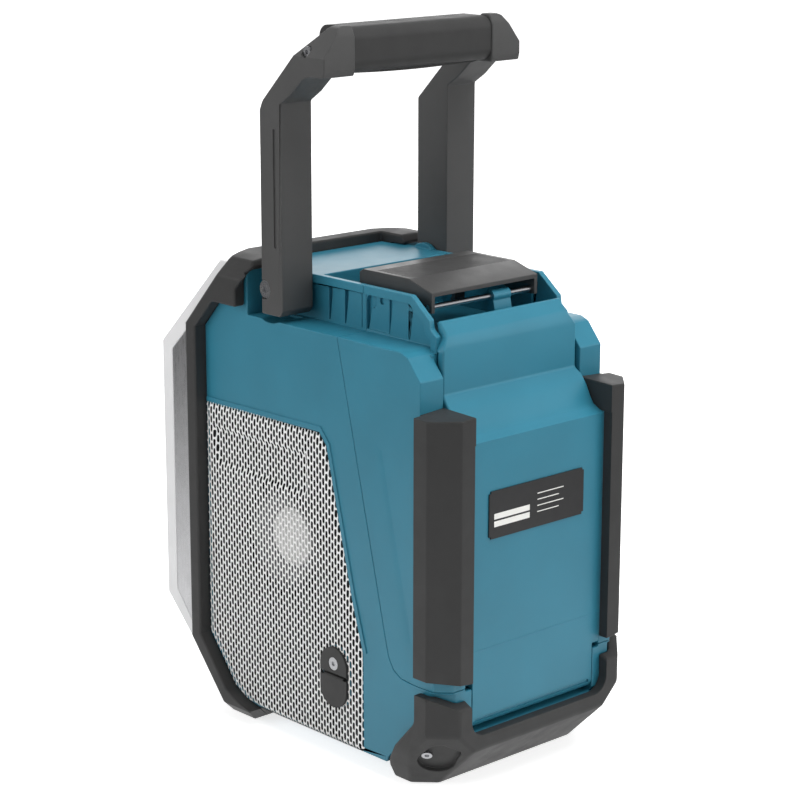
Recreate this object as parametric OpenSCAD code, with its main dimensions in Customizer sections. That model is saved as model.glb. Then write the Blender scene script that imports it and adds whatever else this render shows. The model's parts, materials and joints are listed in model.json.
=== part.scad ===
// Jobsite radio: a plastic case in rubber bumpers, with a fold-down carry handle,
// a latched battery cover at the rear and a speaker behind each side grille.
// The front faces -Y, the rear +Y, and the origin is under the middle, on the ground.

/* [Case] */
// Width over the case's side faces
case_w = 145.6; // [140:0.4:152]
// Depth from the bezel's face to the rear bumper's face
depth = 268; // [262:1:276]
// Height of the case's underside
case_bottom = 11; // [9:0.5:13]
// Height of the ledge on each side that the handle's arm folds on to
ledge_z = 256.6; // [252:0.2:260]
// Height of the deck in front of the finger well
deck_z = 283.8; // [280:0.2:287]
// Wall of the moulded case
wall = 3; // [2.4:0.1:3.6]
// Play between two case mouldings
case_play = 0.15; // [0.1:0.05:0.3]

/* [Bumpers] */
// Width over the front bumper
bumper_w = 162; // [158:0.5:170]
// Height of the front bumper's top
bumper_top = 290; // [287:0.5:294]
// Thickness of the rear bumper and corner guards outside the case
rubber_t = 6.4; // [5:0.1:8]
// Play between rubber and case
rubber_play = 0.15; // [0.1:0.05:0.3]
// Lower end of the corner guards
guard_bottom = 68.4; // [67:0.2:75]
// Upper end of the corner guards
guard_top = 223.4; // [215:0.2:224]
// Height of the rear bumper's band across the back
band_top = 36.6; // [32:0.2:36.8]

/* [Bezel and controls] */
// Width of the front bezel
bezel_w = 133; // [129:0.5:135]
// Lower edge of the bezel's flat face
face_bottom = 60; // [54:1:62]
// Upper edge of the bezel's flat face
face_top = 225; // [223:0.5:229]
// Depth of the dish in front of the control panel
dish = 12; // [10:0.5:14]
// Radius of the tuning knob
knob_r = 17.5; // [14:0.5:18]
// Radius of the knob's shaft
shaft_r = 3; // [2.5:0.25:3.5]
// Travel of each push button
button_travel = 1.2; // [0.8:0.1:1.3]
// Play round each push button
button_play = 0.3; // [0.2:0.05:0.5]
// Radius of the headphone socket's bore
aux_r = 1.8; // [1.3:0.05:3.2]
// Radius of each tweeter's grille
tweeter_r = 15.5; // [13:0.5:16]

/* [Speakers] */
// Radius of the opening behind each side grille
woofer_r = 44; // [40:0.5:46]
// Height of the woofers' centres
woofer_z = 124; // [118:1:130]
// Place of the woofers' centres from front to back
woofer_y = -13; // [-16:1:-8]
// Width of the grille's upright slots
slot_w = 3.4; // [2:0.2:3.8]
// Height of the grille's upright slots
slot_h = 9.4; // [6:0.2:9.8]
// Spacing of the grille's columns of slots
column_pitch = 5.6; // [5.6:0.2:8]
// Spacing of the slots in a column
row_pitch = 12.8; // [12.8:0.2:16]
// Thickness of the side grilles
grille_t = 1.2; // [0.8:0.1:1.5]
// Thickness of the cloth behind each side grille
cloth_t = 0.4; // [0.2:0.1:0.6]

/* [Power inlet] */
// Radius of the power inlet's bore
inlet_r = 2.8; // [2:0.1:3.5]
// Depth of the power inlet's bore
inlet_depth = 9.5; // [8:0.5:12]
// Width of the rubber inlet cover
port_w = 23; // [20:0.5:25]
// Thickness of the rubber inlet cover
port_t = 2.5; // [2:0.1:3]

/* [Battery cover] */
// Half width of the cover's body
cover_half = 54.7; // [53:0.1:54.8]
// Half width of the cover's neck, between the cheeks
neck_half = 48.3; // [44:0.1:48.6]
// Wall of the cover
cover_wall = 3; // [2.4:0.1:3.4]
// Height of the cover's hinge pin
hinge_z = 44; // [43.6:0.1:45]
// Radius of the cover's hinge pin
hinge_r = 2; // [1.5:0.1:2.5]

/* [Latch] */
// Half width of the latch lever
lever_half = 42.3; // [38:0.1:44]
// Front edge of the latch lever
lever_front = 24; // [20:0.5:28]
// Top of the latch lever
lever_top = 290; // [288:0.5:292]
// Wall of the latch lever
lever_wall = 2.5; // [2:0.1:3]
// Radius of the latch's steel rod
rod_r = 1.8; // [1.4:0.1:2.2]

/* [Handle] */
// Height of the handle's top
handle_top = 430; // [415:1:440]
// Width over the handle's arms
handle_w = 154; // [150:0.5:156]
// Gap between the handle's arms
arm_gap = 107.4; // [106.8:0.2:109]
// Distance of the handle's pivot in front of the middle
pivot_front = 20.9; // [18:0.1:22]
// Height of the handle's pivot
pivot_z = 275.4; // [274:0.1:276.4]
// Radius of the handle's pivot bolts
pivot_r = 4; // [3:0.25:5]
// Depth of an arm from front to back
arm_d = 26; // [24:0.5:27]
// Depth of the grip from front to back
grip_d = 30; // [26:0.5:32]
// Height of the grip's section
grip_h = 26; // [22:0.5:28]

/* [Fits] */
// Running play round a shaft, pin or bolt
run_play = 0.05; // [0.02:0.01:0.09]
// Gap between pieces that move past each other
move_gap = 0.35; // [0.3:0.05:0.5]

/* [Hidden] */
$fn = 48;

teal = [0.13, 0.42, 0.50];
black = [0.13, 0.13, 0.14];
rubber = [0.18, 0.18, 0.19];
silver = [0.75, 0.76, 0.77];
steel = [0.62, 0.63, 0.65];
board_green = [0.10, 0.32, 0.20];

side_x = case_w / 2;
front_y = -depth / 2;
rear_y = depth / 2;
back_y = rear_y - rubber_t - 0.1;
guard_x = side_x + rubber_t;
bumper_x = bumper_w / 2;
bezel_x = bezel_w / 2;
inner_x = side_x - wall;
pivot_y = -pivot_front;

// Shoulder of the case behind and below the corner guards' tops
shoulder_y = rear_y - 26;
shoulder_z = guard_top - 0.4;
corner_cut = 8;
nose_y = front_y + 51.7;
hood_y = pivot_y - 20.6;

// Raised block in the middle of the top, with the well for the latch
block_x = 50.5;
rim_x = 53;
well_x = 49;
well_low_x = 46.8;
well_front = 0.4;
well_floor = 254;
cheek_y = rear_y - 55;
tongue_gap = 48;

// Rear wall round the battery bay
bay_wall_y = rear_y - 34;
bay_x = 46;
bay_bottom = 50;
bay_top = 240;
bay_front = bay_wall_y - 48;
sill_z = band_top - 0.6;
seam_z = 64.6;

cover_y = back_y;
cover_front = bay_wall_y + 2;
cover_shoulder = 207;
hinge_y = cover_y - 5.5;
hinge_boss = 5.5;
rod_y = rear_y - 53;
rod_z = 275.4;
panel_y = front_y + dish;
panel_t = 3;
board_y = panel_y + panel_t + 9;
board_t = 1.6;
nose_gap = 10;

inlet_y = 37;
inlet_z = 42;
port_low = 33;
port_high = 70;
port_hinge_z = 51.6;

arm_x = arm_gap / 2;
arm_out = handle_w / 2;
arm_front = pivot_y - 9.1;
arm_back = arm_front + arm_d;
arm_bottom = pivot_z - 14.4;
heel_r = 20;
grip_y = 18;
grip_z = handle_top - 14;

// Helpers: prisms along each axis, and true rounds along each axis
module prism_x(points, x0, x1) {
    translate([x0, 0, 0]) rotate([90, 0, 90]) linear_extrude(x1 - x0) polygon(points);
}

module prism_y(points, y0, y1) {
    translate([0, y1, 0]) rotate([90, 0, 0]) linear_extrude(y1 - y0) polygon(points);
}

module prism_z(points, z0, z1) {
    translate([0, 0, z0]) linear_extrude(z1 - z0) polygon(points);
}

module block(low, high) {
    translate(low) cube(high - low);
}

module rod_x(r, y, z, x0, x1) {
    translate([x0, y, z]) rotate([0, 90, 0]) cylinder(r = r, h = x1 - x0);
}

module rod_along_y(r, x, z, y0, y1) {
    translate([x, y1, z]) rotate([90, 0, 0]) cylinder(r = r, h = y1 - y0);
}

module both_sides() {
    children();
    mirror([1, 0, 0]) children();
}

function unit(v) = v / norm(v);
function inward(a, b) = let (t = unit(b - a)) [-t[1], t[0]];

// Outline moved inwards by d; its points run anticlockwise
function inset(p, d) = [for (i = [0:len(p) - 1])
    let (a = p[(i + len(p) - 1) % len(p)], b = p[i], c = p[(i + 1) % len(p)],
        m = inward(a, b), n = inward(b, c))
    b + (m + n) * d / (1 + m * n)];

function moved(p, v) = [for (q = p) q + v];

// Side view of the case, as [y, z]
case_outline = [[nose_y + 46.3, case_bottom], [rear_y - 27, case_bottom],
    [back_y, case_bottom + 20.5], [back_y, shoulder_z], [shoulder_y, shoulder_z],
    [shoulder_y, ledge_z - 14.5], [rear_y - 36.2, ledge_z - 2.3], [rear_y - 42, ledge_z],
    [hood_y, ledge_z], [hood_y, deck_z], [hood_y - 5, deck_z], [nose_y, 244], [nose_y, 48],
    [nose_y + 24.4, 19], [nose_y + 34.3, case_bottom + 2.6]];

// Plan of the case, as [x, y], with its rear corners cut
case_plan = [[-side_x, nose_y - 0.2], [side_x, nose_y - 0.2], [side_x, back_y - corner_cut],
    [side_x - corner_cut, back_y], [corner_cut - side_x, back_y], [-side_x, back_y - corner_cut]];

// Seam between the two case mouldings: everything in front of and below it
seam = [[39, deck_z + 10], [39, ledge_z - 2], [rear_y - 55.4, 90], [rear_y - 51.7, 75.6],
    [rear_y - 47.5, 69], [rear_y - 41.3, seam_z + 1], [rear_y - 31, seam_z], [rear_y + 5, seam_z]];
front_zone = concat([[front_y - 5, deck_z + 10], [front_y - 5, -5], [rear_y + 5, -5]],
    [for (i = [len(seam) - 1:-1:0]) seam[i]]);

// Side view of the nose, d inside the bezel's outer faces
nose_top = deck_z + 0.2;
nose_bottom = 6;
nose_back = nose_y + 16.3;
function nose(d) = [[front_y + d, face_bottom + 0.4142 * d],
    [front_y + face_bottom - nose_bottom - 0.4142 * d, nose_bottom + d],
    [nose_back, nose_bottom + d], [nose_back, nose_top - d],
    [front_y + nose_top - face_top + 0.4142 * d, nose_top - d],
    [front_y + d, face_top - 0.4142 * d]];

// What the case and the rear rubber share: sides, rear and corners that lean in towards
// the ground, d inside the rubber's outer faces
rear_cut = 13.8;
corner_edge = (guard_x + rear_y - rear_cut) / sqrt(2);
corner_foot = corner_edge - 42.9;
corner_tilt = atan2(59.6, corner_edge - corner_foot);
module lean_hull(d) {
    intersection() {
        prism_y(inset([[-56.2, -20], [56.2, -20], [guard_x, 27], [guard_x, 120], [-guard_x, 120],
            [-guard_x, 27]], d), 0, rear_y);
        prism_x(inset([[-10, -20], [rear_y - 49.7, -20], [rear_y, 28], [rear_y, 120], [-10, 120]], d),
            -guard_x, guard_x);
        rotate([0, 0, 45]) lean_corner(d);
        rotate([0, 0, 135]) lean_corner(d);
    }
}

module lean_corner(d) {
    prism_y(inset([[-240, -20], [corner_foot, -20], [corner_edge, 39.6], [corner_edge, 120],
        [-240, 120]], d), -250, 250);
}

// Carries its children to the underside of each rear corner: their X runs along the corner
// and their Y up its slope, from the ground
module at_corners() {
    both_sides() rotate([0, 0, 45]) translate([corner_foot + 20 / tan(corner_tilt), 0, 0])
        rotate([0, 180 - corner_tilt, 0]) rotate([0, 0, 90]) children();
}

// Side view of the room that the lower bumper fills
under_zone = [[rear_y - 54, -1], [rear_y + 2, -1], [rear_y + 2, 63.5], [rear_y - 24.5, 63.5],
    [rear_y - 24.5, 45], [rear_y - 52, 14], [rear_y - 54, 9]];

// ---------------------------------------------------------------- case

// Its side view, with cheeks that slope down beside the battery cover
block_end = bay_wall_y - 0.3;
block_outline = [[hood_y - 5, well_floor - 6], [block_end, well_floor - 6], [block_end, 263.3],
    [block_end - 4.9, 267], [block_end - 5.7, 272], [cheek_y + 1.5, deck_z - 1.2], [cheek_y, deck_z],
    [hood_y - 5, deck_z]];
module block_solid() {
    prism_x(block_outline, -block_x, block_x);
    block([0.2 - tongue_gap, hood_y - 14.5, well_floor - 6], [tongue_gap - 0.2, hood_y, deck_z]);
    // Raised border along the top and down the cheeks
    both_sides() difference() {
        prism_x(block_outline, block_x - 0.5, rim_x);
        prism_x(inset(block_outline, 5), block_x - 1, rim_x + 1);
        block([0, hood_y - 20, 0], [rim_x + 1, hood_y, deck_z + 1]);
    }
}

module case_solid() {
    difference() {
        intersection() {
            prism_x(case_outline, -side_x, side_x);
            prism_z(case_plan, 0, deck_z + 1);
        }
        // Rebate for the lower bumper
        difference() {
            prism_x(inset(under_zone, -rubber_play), -side_x - 1, side_x + 1);
            lean_hull(rubber_t);
        }
    }
    block_solid();
    both_sides() rod_x(11.8, pivot_y, pivot_z, block_x - 1, arm_x - move_gap);
}

module case_cavity() {
    intersection() {
        prism_x(inset(case_outline, wall), -inner_x, inner_x);
        prism_z(inset(case_plan, wall), 0, deck_z);
        union() {
            block([-side_x, front_y, 0], [side_x, bay_wall_y - wall, deck_z]);
            both_sides() block([cover_half + 3.3, 0, 0], [side_x, rear_y, shoulder_z - wall]);
            block([-side_x, 0, 0], [side_x, rear_y, sill_z - wall]);
        }
        union() {
            block([-side_x, front_y, 0], [side_x, rear_y - 57, deck_z]);
            block([-side_x, 0, 64 + wall], [side_x, rear_y, deck_z]);
            lean_hull(rubber_t + wall);
        }
    }
    // Under the deck, in front of the well
    block([-block_x + wall, hood_y - 10.5, ledge_z - 8], [block_x - wall, well_front - wall, deck_z - wall]);
}

// Room round each folding arm, with a dip in the ledge for its heel
module arm_room() {
    both_sides() rod_x(heel_r + 0.5, pivot_y, pivot_z, rim_x + 0.1, side_x + 5);
}

module arm_room_in_ledge() {
    intersection() {
        arm_room();
        block([-side_x - 6, hood_y + 0.01, 0], [side_x + 6, 20, ledge_z + 1]);
    }
}

// Under-skin of the dip, so that the ledge has no hole
module dip_skin() {
    intersection() {
        both_sides() rod_x(heel_r + 0.5 + wall, pivot_y, pivot_z, rim_x - 2, side_x - 0.01);
        block([-side_x, hood_y - wall, 0], [side_x, 20, ledge_z]);
    }
}

// The well for the latch is narrower below its rim, as far back as the cover's neck
module well_cut() {
    block([-well_low_x, well_front, well_floor], [well_low_x, bay_wall_y + 5, deck_z + 5]);
    block([-well_x, well_front, deck_z - 3.5], [well_x, bay_wall_y + 5, deck_z + 5]);
    block([-well_x, rear_y - 58, well_floor], [well_x, bay_wall_y + 5, deck_z + 5]);
}

module cover_room() {
    // Behind the rear wall, between the corner columns
    block([-cover_half - 0.3, bay_wall_y, sill_z], [cover_half + 0.3, rear_y, deck_z]);
    block([-bay_x, bay_wall_y - 10, bay_bottom], [bay_x, rear_y, bay_top]);
}

// Tapered slots between the ribs on the block's sides, and a framed arch among them
slot_places = [6.6, 20.5, 57.8, 74.8];
arch_y = 39.6;
arch_r = 4;
slot_top = deck_z - 5;
slot_foot = ledge_z + 1.5;
function tapered_slot(y) = [[y, slot_foot], [y + 0.8, slot_foot], [y + 3.7, slot_top], [y, slot_top]];
module block_slots() {
    both_sides() intersection() {
        prism_x(inset(block_outline, 5.2), block_x - 4, rim_x + 1);
        union() {
            for (y = slot_places) prism_x(tapered_slot(y), block_x - 2.3, rim_x + 1);
            // The arch: a deep edge with a round shoulder, and a plate sunk behind it
            prism_x([[arch_y, slot_foot], [arch_y + 0.8, slot_foot], [arch_y + 4, slot_top - 5],
                [arch_y + 4, slot_top - arch_r], [arch_y, slot_top - arch_r]], block_x - 2.3, rim_x + 1);
            rod_x(arch_r, arch_y + arch_r, slot_top - arch_r, block_x - 2.3, rim_x + 1);
            block([block_x - 0.8, arch_y + 0.8, slot_foot], [rim_x + 1, slot_places[2] + 1, slot_top - arch_r]);
            block([block_x - 0.8, arch_y + arch_r, slot_foot], [rim_x + 1, slot_places[2] + 1, slot_top]);
            rod_x(2, arch_y + 12.1, slot_top - 2.9, block_x - 2.3, rim_x + 1);
            // Line between two panels
            block([block_x - 0.5, arch_y - 4.5, slot_foot], [rim_x + 1, arch_y - 4, slot_top]);
        }
    }
}

module speaker_hole() {
    both_sides() rod_x(woofer_r, woofer_y, woofer_z, inner_x - 10, side_x + 1);
}

grille_outline = [[nose_y + 45.4, case_bottom + 1], [60.5, case_bottom + 1], [60.1, 73],
    [50.3, 104.7], [28.9, 190.4], [22.8, 197.2], [nose_y + 1.7, 195.7], [nose_y + 1.7, 49.5],
    [nose_y + 24.8, 20.9], [nose_y + 35.6, case_bottom + 4]];

// Lip that stands round the grille's top and rear edges
module grille_lip() {
    both_sides() difference() {
        prism_x(inset(grille_outline, -4), side_x - 0.5, side_x + 0.9);
        prism_x(inset(grille_outline, -1), side_x - 1, side_x + 2);
        block([0, nose_y - 10, 0], [side_x + 2, 90, port_high + 3]);
        block([0, nose_y - 10, 0], [side_x + 2, nose_y + 1, deck_z]);
    }
}

module grille_recess() {
    difference() {
        both_sides() prism_x(grille_outline, side_x - grille_t - cloth_t, side_x + 1);
        port_pad(0);
    }
}

// Oblong pad that the power inlet's cover sits on, proud of the recess
module port_pad(gap) {
    r = port_w / 2 + 0.6 + gap;
    for (z = [port_low + port_w / 2, port_high - port_w / 2]) rod_x(r, inlet_y, z, 0, side_x + 2);
    block([0, inlet_y - r, port_low + port_w / 2], [side_x + 2, inlet_y + r, port_high - port_w / 2]);
}

// Shallow bare panel on each side of the rear moulding
module side_panel_recess() {
    panel = [[-62.7, 200], [-38, 88], [-35, 85], [-29.5, 84], [-33, 196], [-36, 200]];
    both_sides() prism_x(moved(panel, [rear_y, 0]), side_x - 1.2, side_x + 1);
}

module case_shell() {
    difference() {
        union() {
            difference() {
                case_solid();
                case_cavity();
            }
            // Floor and front wall of the latch well
            block([-block_x, well_front - wall, well_floor - 2.5], [block_x, block_end, well_floor]);
            dip_skin();
            grille_lip();
            // Rear wall round the battery bay
            block([-cover_half - 2, bay_wall_y - wall, sill_z - wall],
                [cover_half + 2, bay_wall_y, well_floor]);
        }
        well_cut();
        arm_room_in_ledge();
        cover_room();
        block_slots();
        speaker_hole();
        grille_recess();
        side_panel_recess();
        // Room for the nose: the case is open at its front
        block([-bezel_x + wall, front_y, 24], [bezel_x - wall, nose_y + wall + 1, 238]);
        both_sides() rod_x(pivot_r, pivot_y, pivot_z, block_x - 8, rim_x + 5);
    }
}

module pivot_boss() {
    both_sides() difference() {
        rod_x(8, pivot_y, pivot_z, block_x - 9, block_x - wall + 0.5);
        rod_x(pivot_r, pivot_y, pivot_z, block_x - 10, block_x);
    }
}

// Ears that hold the cover's hinge pin, low in the rear corners
module hinge_ears() {
    both_sides() difference() {
        ear = [[bay_wall_y - 1, case_bottom + 14], [cover_y - 12, case_bottom + 14],
            [cover_y, band_top + 2], [cover_y, seam_z - 1.5], [bay_wall_y - 1, seam_z - 1.5]];
        prism_x(ear, 50, cover_half + 2);
        rod_x(hinge_r, hinge_y, hinge_z, 49, cover_half + 0.5);
    }
}

module front_housing() color(teal) {
    difference() {
        intersection() {
            case_shell();
            prism_x(front_zone, -side_x - 1, side_x + 1);
        }
        // Power inlet's hole in the right side
        rod_x(7, inlet_y, inlet_z, inner_x - 5, side_x + 1);
        bumper_screw_holes();
        at_corners() corner_screw_hole();
    }
    pivot_boss();
    hinge_ears();
}

module rear_housing() color(teal) {
    difference() {
        case_shell();
        prism_x(moved(front_zone, [case_play, case_play]), -side_x - 1, side_x + 1);
    }
}

// ---------------------------------------------------------------- rubber

// Corners of the front bumper's side view at its flanks, and how far its front stands out
flank_low = 45;
flank_high = 245;
flank_y = front_y + 43;
flank_top_y = hood_y - 8.5;
flank_foot_y = front_y + 82;
bumper_front = 15;
upper_slope = atan2(flank_top_y - flank_y, bumper_top - flank_high);
lower_slope = atan2(flank_foot_y - flank_y, flank_low);

// Half space behind a sloping face, whose middle stands out further than its sides
module sloping_face(tilt, point, outs) {
    v = point[0] * cos(tilt) - point[1] * sin(tilt);
    edge = [[bumper_x + 1, v + 0.5], [bumper_x - 14, v - outs[0]], [50, v - outs[1]]];
    rotate([-tilt, 0, 0]) prism_z(concat([[-bumper_x - 1, v + 200]],
        [for (q = edge) [-q[0], q[1]]], [for (i = [2:-1:0]) edge[i]],
        [[bumper_x + 1, v + 200]]), -400, 500);
}

module bumper_body() {
    intersection() {
        block([-bumper_x, flank_y - bumper_front, 0], [bumper_x, -20, bumper_top]);
        prism_z([[-bumper_x, 0], [-bumper_x, flank_y], [14 - bumper_x, flank_y - bumper_front],
            [bumper_x - 14, flank_y - bumper_front], [bumper_x, flank_y], [bumper_x, 0]],
            -1, bumper_top + 1);
        sloping_face(upper_slope, [flank_top_y, bumper_top], [8, 14]);
        sloping_face(-lower_slope, [flank_foot_y, 0], [12, 16.5]);
        // Front view: top and bottom corners slope down to the flanks
        prism_y([[-70, 0], [70, 0], [bumper_x, 9.5], [bumper_x, bumper_top - 11],
            [71, bumper_top - 1], [60, bumper_top], [-60, bumper_top], [-71, bumper_top - 1],
            [-bumper_x, bumper_top - 11], [-bumper_x, 9.5]], front_y, 0);
        union() {
            block([-bumper_x, front_y - 16, 25], [bumper_x, 0, bumper_top]);
            block([-bumper_x, front_y - 16, 0], [bumper_x, arm_front - 1, 26]);
        }
    }
}

// Side view of what is left open inside each flank
flank_opening = [[arm_front - 1, case_bottom - 1.3], [10, case_bottom - 1.3], [10, bumper_top + 20],
    [hood_y + 35, bumper_top + 20], [hood_y - 2, 273], [hood_y - 2, 261.7], [nose_y + 16.3, 261.7],
    [nose_y - 0.2, 244], [nose_y - 0.2, 48], [nose_y + 24.4, 18.4], [nose_y + 30.3, 15.4],
    [nose_y + 40.9, case_bottom + 0.6]];

// Side view of the pocket that each arm's heel turns in, 17.4 mm from the pivot
pocket_reach = 17.4 * sqrt(2);
arm_pocket = [[hood_y - 2, ledge_z - 2], [10, ledge_z - 2], [10, pivot_z + pocket_reach + 10 - pivot_y],
    [hood_y - 2, pivot_z + pocket_reach + hood_y - 2 - pivot_y]];

module front_bumper() color(rubber) {
    p = rubber_play;
    difference() {
        bumper_body();
        // Case
        intersection() {
            prism_x([[10, case_bottom - p], [10, deck_z + p], [hood_y - 5.2, deck_z + p],
                [nose_y - 3, 244.4], [nose_y - 3, 47.6], [nose_y + 24.1, 18.7],
                [nose_y + 34.1, case_bottom + 2.4], [nose_y + 46.3, case_bottom - p]],
                -side_x - p, side_x + p);
            block([-side_x - p, nose_y - p, 0], [side_x + p, 10, 300]);
        }
        // Bezel and nose
        prism_x(nose(-p), -bezel_x - p, bezel_x + p);
        // Flank openings, right through the skin beside the case
        both_sides() prism_x(flank_opening, side_x - 0.2, bumper_x + 1);
        // Between the tongues
        block([-tongue_gap, hood_y - 15.5, deck_z - 20], [tongue_gap, 10, bumper_top + 1]);
        // Arms at rest and folding
        both_sides() prism_x(arm_pocket, tongue_gap - 1, arm_out + move_gap);
        block([-bumper_x - 1, arm_front - move_gap, case_bottom + 30],
            [bumper_x + 1, 20, bumper_top + 1]);
        bumper_screw_holes();
    }
}

module lower_bumper() color(rubber) {
    p = rubber_play;
    difference() {
        intersection() {
            prism_x(under_zone, -guard_x - 1, guard_x + 1);
            lean_hull(0);
            block([-guard_x, 0, 0], [guard_x, rear_y, 70]);
            // Uprights slope down to the rear strip
            prism_x([[0, -1], [rear_y, -1], [rear_y, 56], [rear_y - 14, 62.6], [0, 62.6]],
                -guard_x, guard_x);
        }
        // Case inside
        intersection() {
            prism_x([[40, case_bottom - p], [rear_y - 27 + p, case_bottom - p],
                [back_y + p, case_bottom + 20.3], [back_y + p, 100], [40, 100]], -side_x - p, side_x + p);
            prism_z(inset(case_plan, -p), 0, 100);
            lean_hull(rubber_t - p);
        }
        upright_gap();
        bumper_screw_holes();
        // Recess round each corner screw
        at_corners() {
            translate([0, 0, -corner_recess]) linear_extrude(6) {
                translate([35, 24]) circle(r = 11);
                polygon([[27.5, 32], [31, 38], [38, 41], [49.5, 33.5], [44.5, 18.5]]);
            }
            corner_screw_hole();
        }
    }
}

// Gap between the uprights, with round lower corners
upright_x = 55.7;
module upright_gap() {
    r = 10;
    inner_y = rear_y - 39;
    block([-upright_x, inner_y, band_top + r], [upright_x, rear_y + 1, 80]);
    block([r - upright_x, inner_y, band_top], [upright_x - r, rear_y + 1, 80]);
    both_sides() rod_along_y(r, upright_x - r, band_top + r, inner_y, rear_y + 1);
}

module corner_guard() {
    p = rubber_play;
    inner = cover_half + 0.6;
    guard_y = rear_y - 24.8;
    outline = [[side_x + p, guard_y], [guard_x, guard_y], [guard_x, rear_y - rear_cut],
        [guard_x - rear_cut, rear_y], [inner, rear_y], [inner, back_y + p],
        [side_x - corner_cut + 0.06, back_y + p], [side_x + p, back_y - corner_cut + 0.06]];
    ends = [[inner - 1, guard_bottom + 2], [66, guard_bottom], [guard_x + 1, guard_bottom + 4.5],
        [guard_x + 1, guard_top - 5.5], [61, guard_top], [inner - 1, guard_top - 1]];
    intersection() {
        prism_z(outline, guard_bottom - 1, guard_top + 1);
        prism_y(ends, guard_y - 1, rear_y + 1);
        prism_x([[guard_y - 1, guard_bottom - 1], [rear_y - 14, guard_bottom - 1],
            [rear_y, guard_bottom + 3], [rear_y, guard_top - 3.5], [rear_y - 18, guard_top],
            [guard_y - 1, guard_top]], 0, guard_x);
    }
}

module corner_guard_right() color(rubber) corner_guard();
module corner_guard_left() color(rubber) mirror([1, 0, 0]) corner_guard();

// Screws that hold the rubber to the case: four from below, and one at each rear corner
screw_spots = [[52, rear_y - 38], [-52, rear_y - 38], [52, nose_y + 38.3], [-52, nose_y + 38.3]];
corner_recess = 2.6;
corner_spot = [29.5, 28.5];
module corner_screw_hole() translate([corner_spot[0], corner_spot[1], -20]) cylinder(r = 1.7, h = 20);

module bumper_screw_holes() {
    for (s = screw_spots) translate([s[0], s[1], -1]) {
        cylinder(r = 1.7, h = 26);
        cylinder(r = 3.8, h = 7.3);
    }
}

module bumper_screws() color(steel) {
    for (s = screw_spots) translate([s[0], s[1], 0]) {
        translate([0, 0, 4.1]) difference() {
            cylinder(r = 3.5, h = 2.2);
            translate([0, 0, -1]) cylinder(r = 1.6, h = 2.2, $fn = 6);
        }
        translate([0, 0, 6.2]) cylinder(r = 1.6, h = 9);
    }
    at_corners() translate([corner_spot[0], corner_spot[1], -corner_recess]) {
        difference() {
            cylinder(r = 3.1, h = 1.8);
            translate([0, 0, 0.8]) cylinder(r = 1.5, h = 2, $fn = 6);
        }
        translate([0, 0, -9]) cylinder(r = 1.6, h = 9.1);
    }
}

// ---------------------------------------------------------------- front

// The case, grown by the play between it and what sits in front of it
module case_front_room() {
    prism_x(inset(case_outline, -case_play), -side_x - 1, side_x + 1);
}

module front_bezel() color(silver) {
    difference() {
        union() {
            difference() {
                prism_x(nose(0), -bezel_x, bezel_x);
                prism_x(nose(nose_gap), -bezel_x - 1, bezel_x + 1);
            }
            // Lip of the dish
            block([-58, front_y + 1, face_bottom + 2], [58, panel_y - 0.2, face_top - 2]);
        }
        case_front_room();
        // Hollow behind the skin
        difference() {
            prism_x(nose(wall), wall - bezel_x, bezel_x - wall);
            block([-57, front_y - 1, face_bottom + 4], [57, panel_y + 1, face_top - 4]);
        }
        // Dish: wider at the face than at the panel
        intersection() {
            prism_z([[-57, front_y - 0.01], [57, front_y - 0.01], [51, panel_y + 0.01],
                [-51, panel_y + 0.01]], 0, deck_z);
            prism_x([[front_y - 0.01, face_bottom + 6], [panel_y + 0.01, face_bottom + 11],
                [panel_y + 0.01, face_top - 11], [front_y - 0.01, face_top - 6]], -60, 60);
        }
    }
}

frame_x = bezel_x - wall - 0.2;
module front_frame() color(black) {
    difference() {
        prism_x(nose(nose_gap + 0.2), -bezel_x + 0.3, bezel_x - 0.3);
        prism_x(nose(nose_gap + 3), -frame_x + 1, frame_x - 1);
        case_front_room();
        // Window for the bezel's dish and the control panel
        block([-58.7, front_y, face_bottom + 1.3], [58.7, panel_y + 8, face_top - 1.3]);
    }
    // Ledge that carries the control panel
    difference() {
        block([-frame_x + 0.5, panel_y + panel_t, face_bottom - 1],
            [frame_x - 0.5, panel_y + panel_t + 2.6, face_top + 1]);
        block([-54, front_y, face_bottom + 6], [54, 0, face_top - 6]);
    }
}

display_x = 38;
display_z = [164, 208];
button_z = 150;
preset_x = [-36, -12, 12, 36];
knob_z = 120;
tweeter_x = 34;
tweeter_z = 87;
aux_z = 80;

// Each button: [x, z, width, height]
buttons = [[-38.5, 121, 15, 12], [38.5, 128, 15, 9], [38.5, 114, 15, 9],
    [preset_x[0], button_z, 18, 8], [preset_x[1], button_z, 18, 8],
    [preset_x[2], button_z, 18, 8], [preset_x[3], button_z, 18, 8]];

module rounded_bar(w, h, d) {
    r = min(w, h) / 2;
    translate([r - w / 2, 0, r - h / 2]) rotate([-90, 0, 0]) cylinder(r = r, h = d);
    translate([w / 2 - r, 0, h / 2 - r]) rotate([-90, 0, 0]) cylinder(r = r, h = d);
    translate([r - w / 2, 0, -h / 2]) cube([w - 2 * r, d, h]);
}

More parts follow.
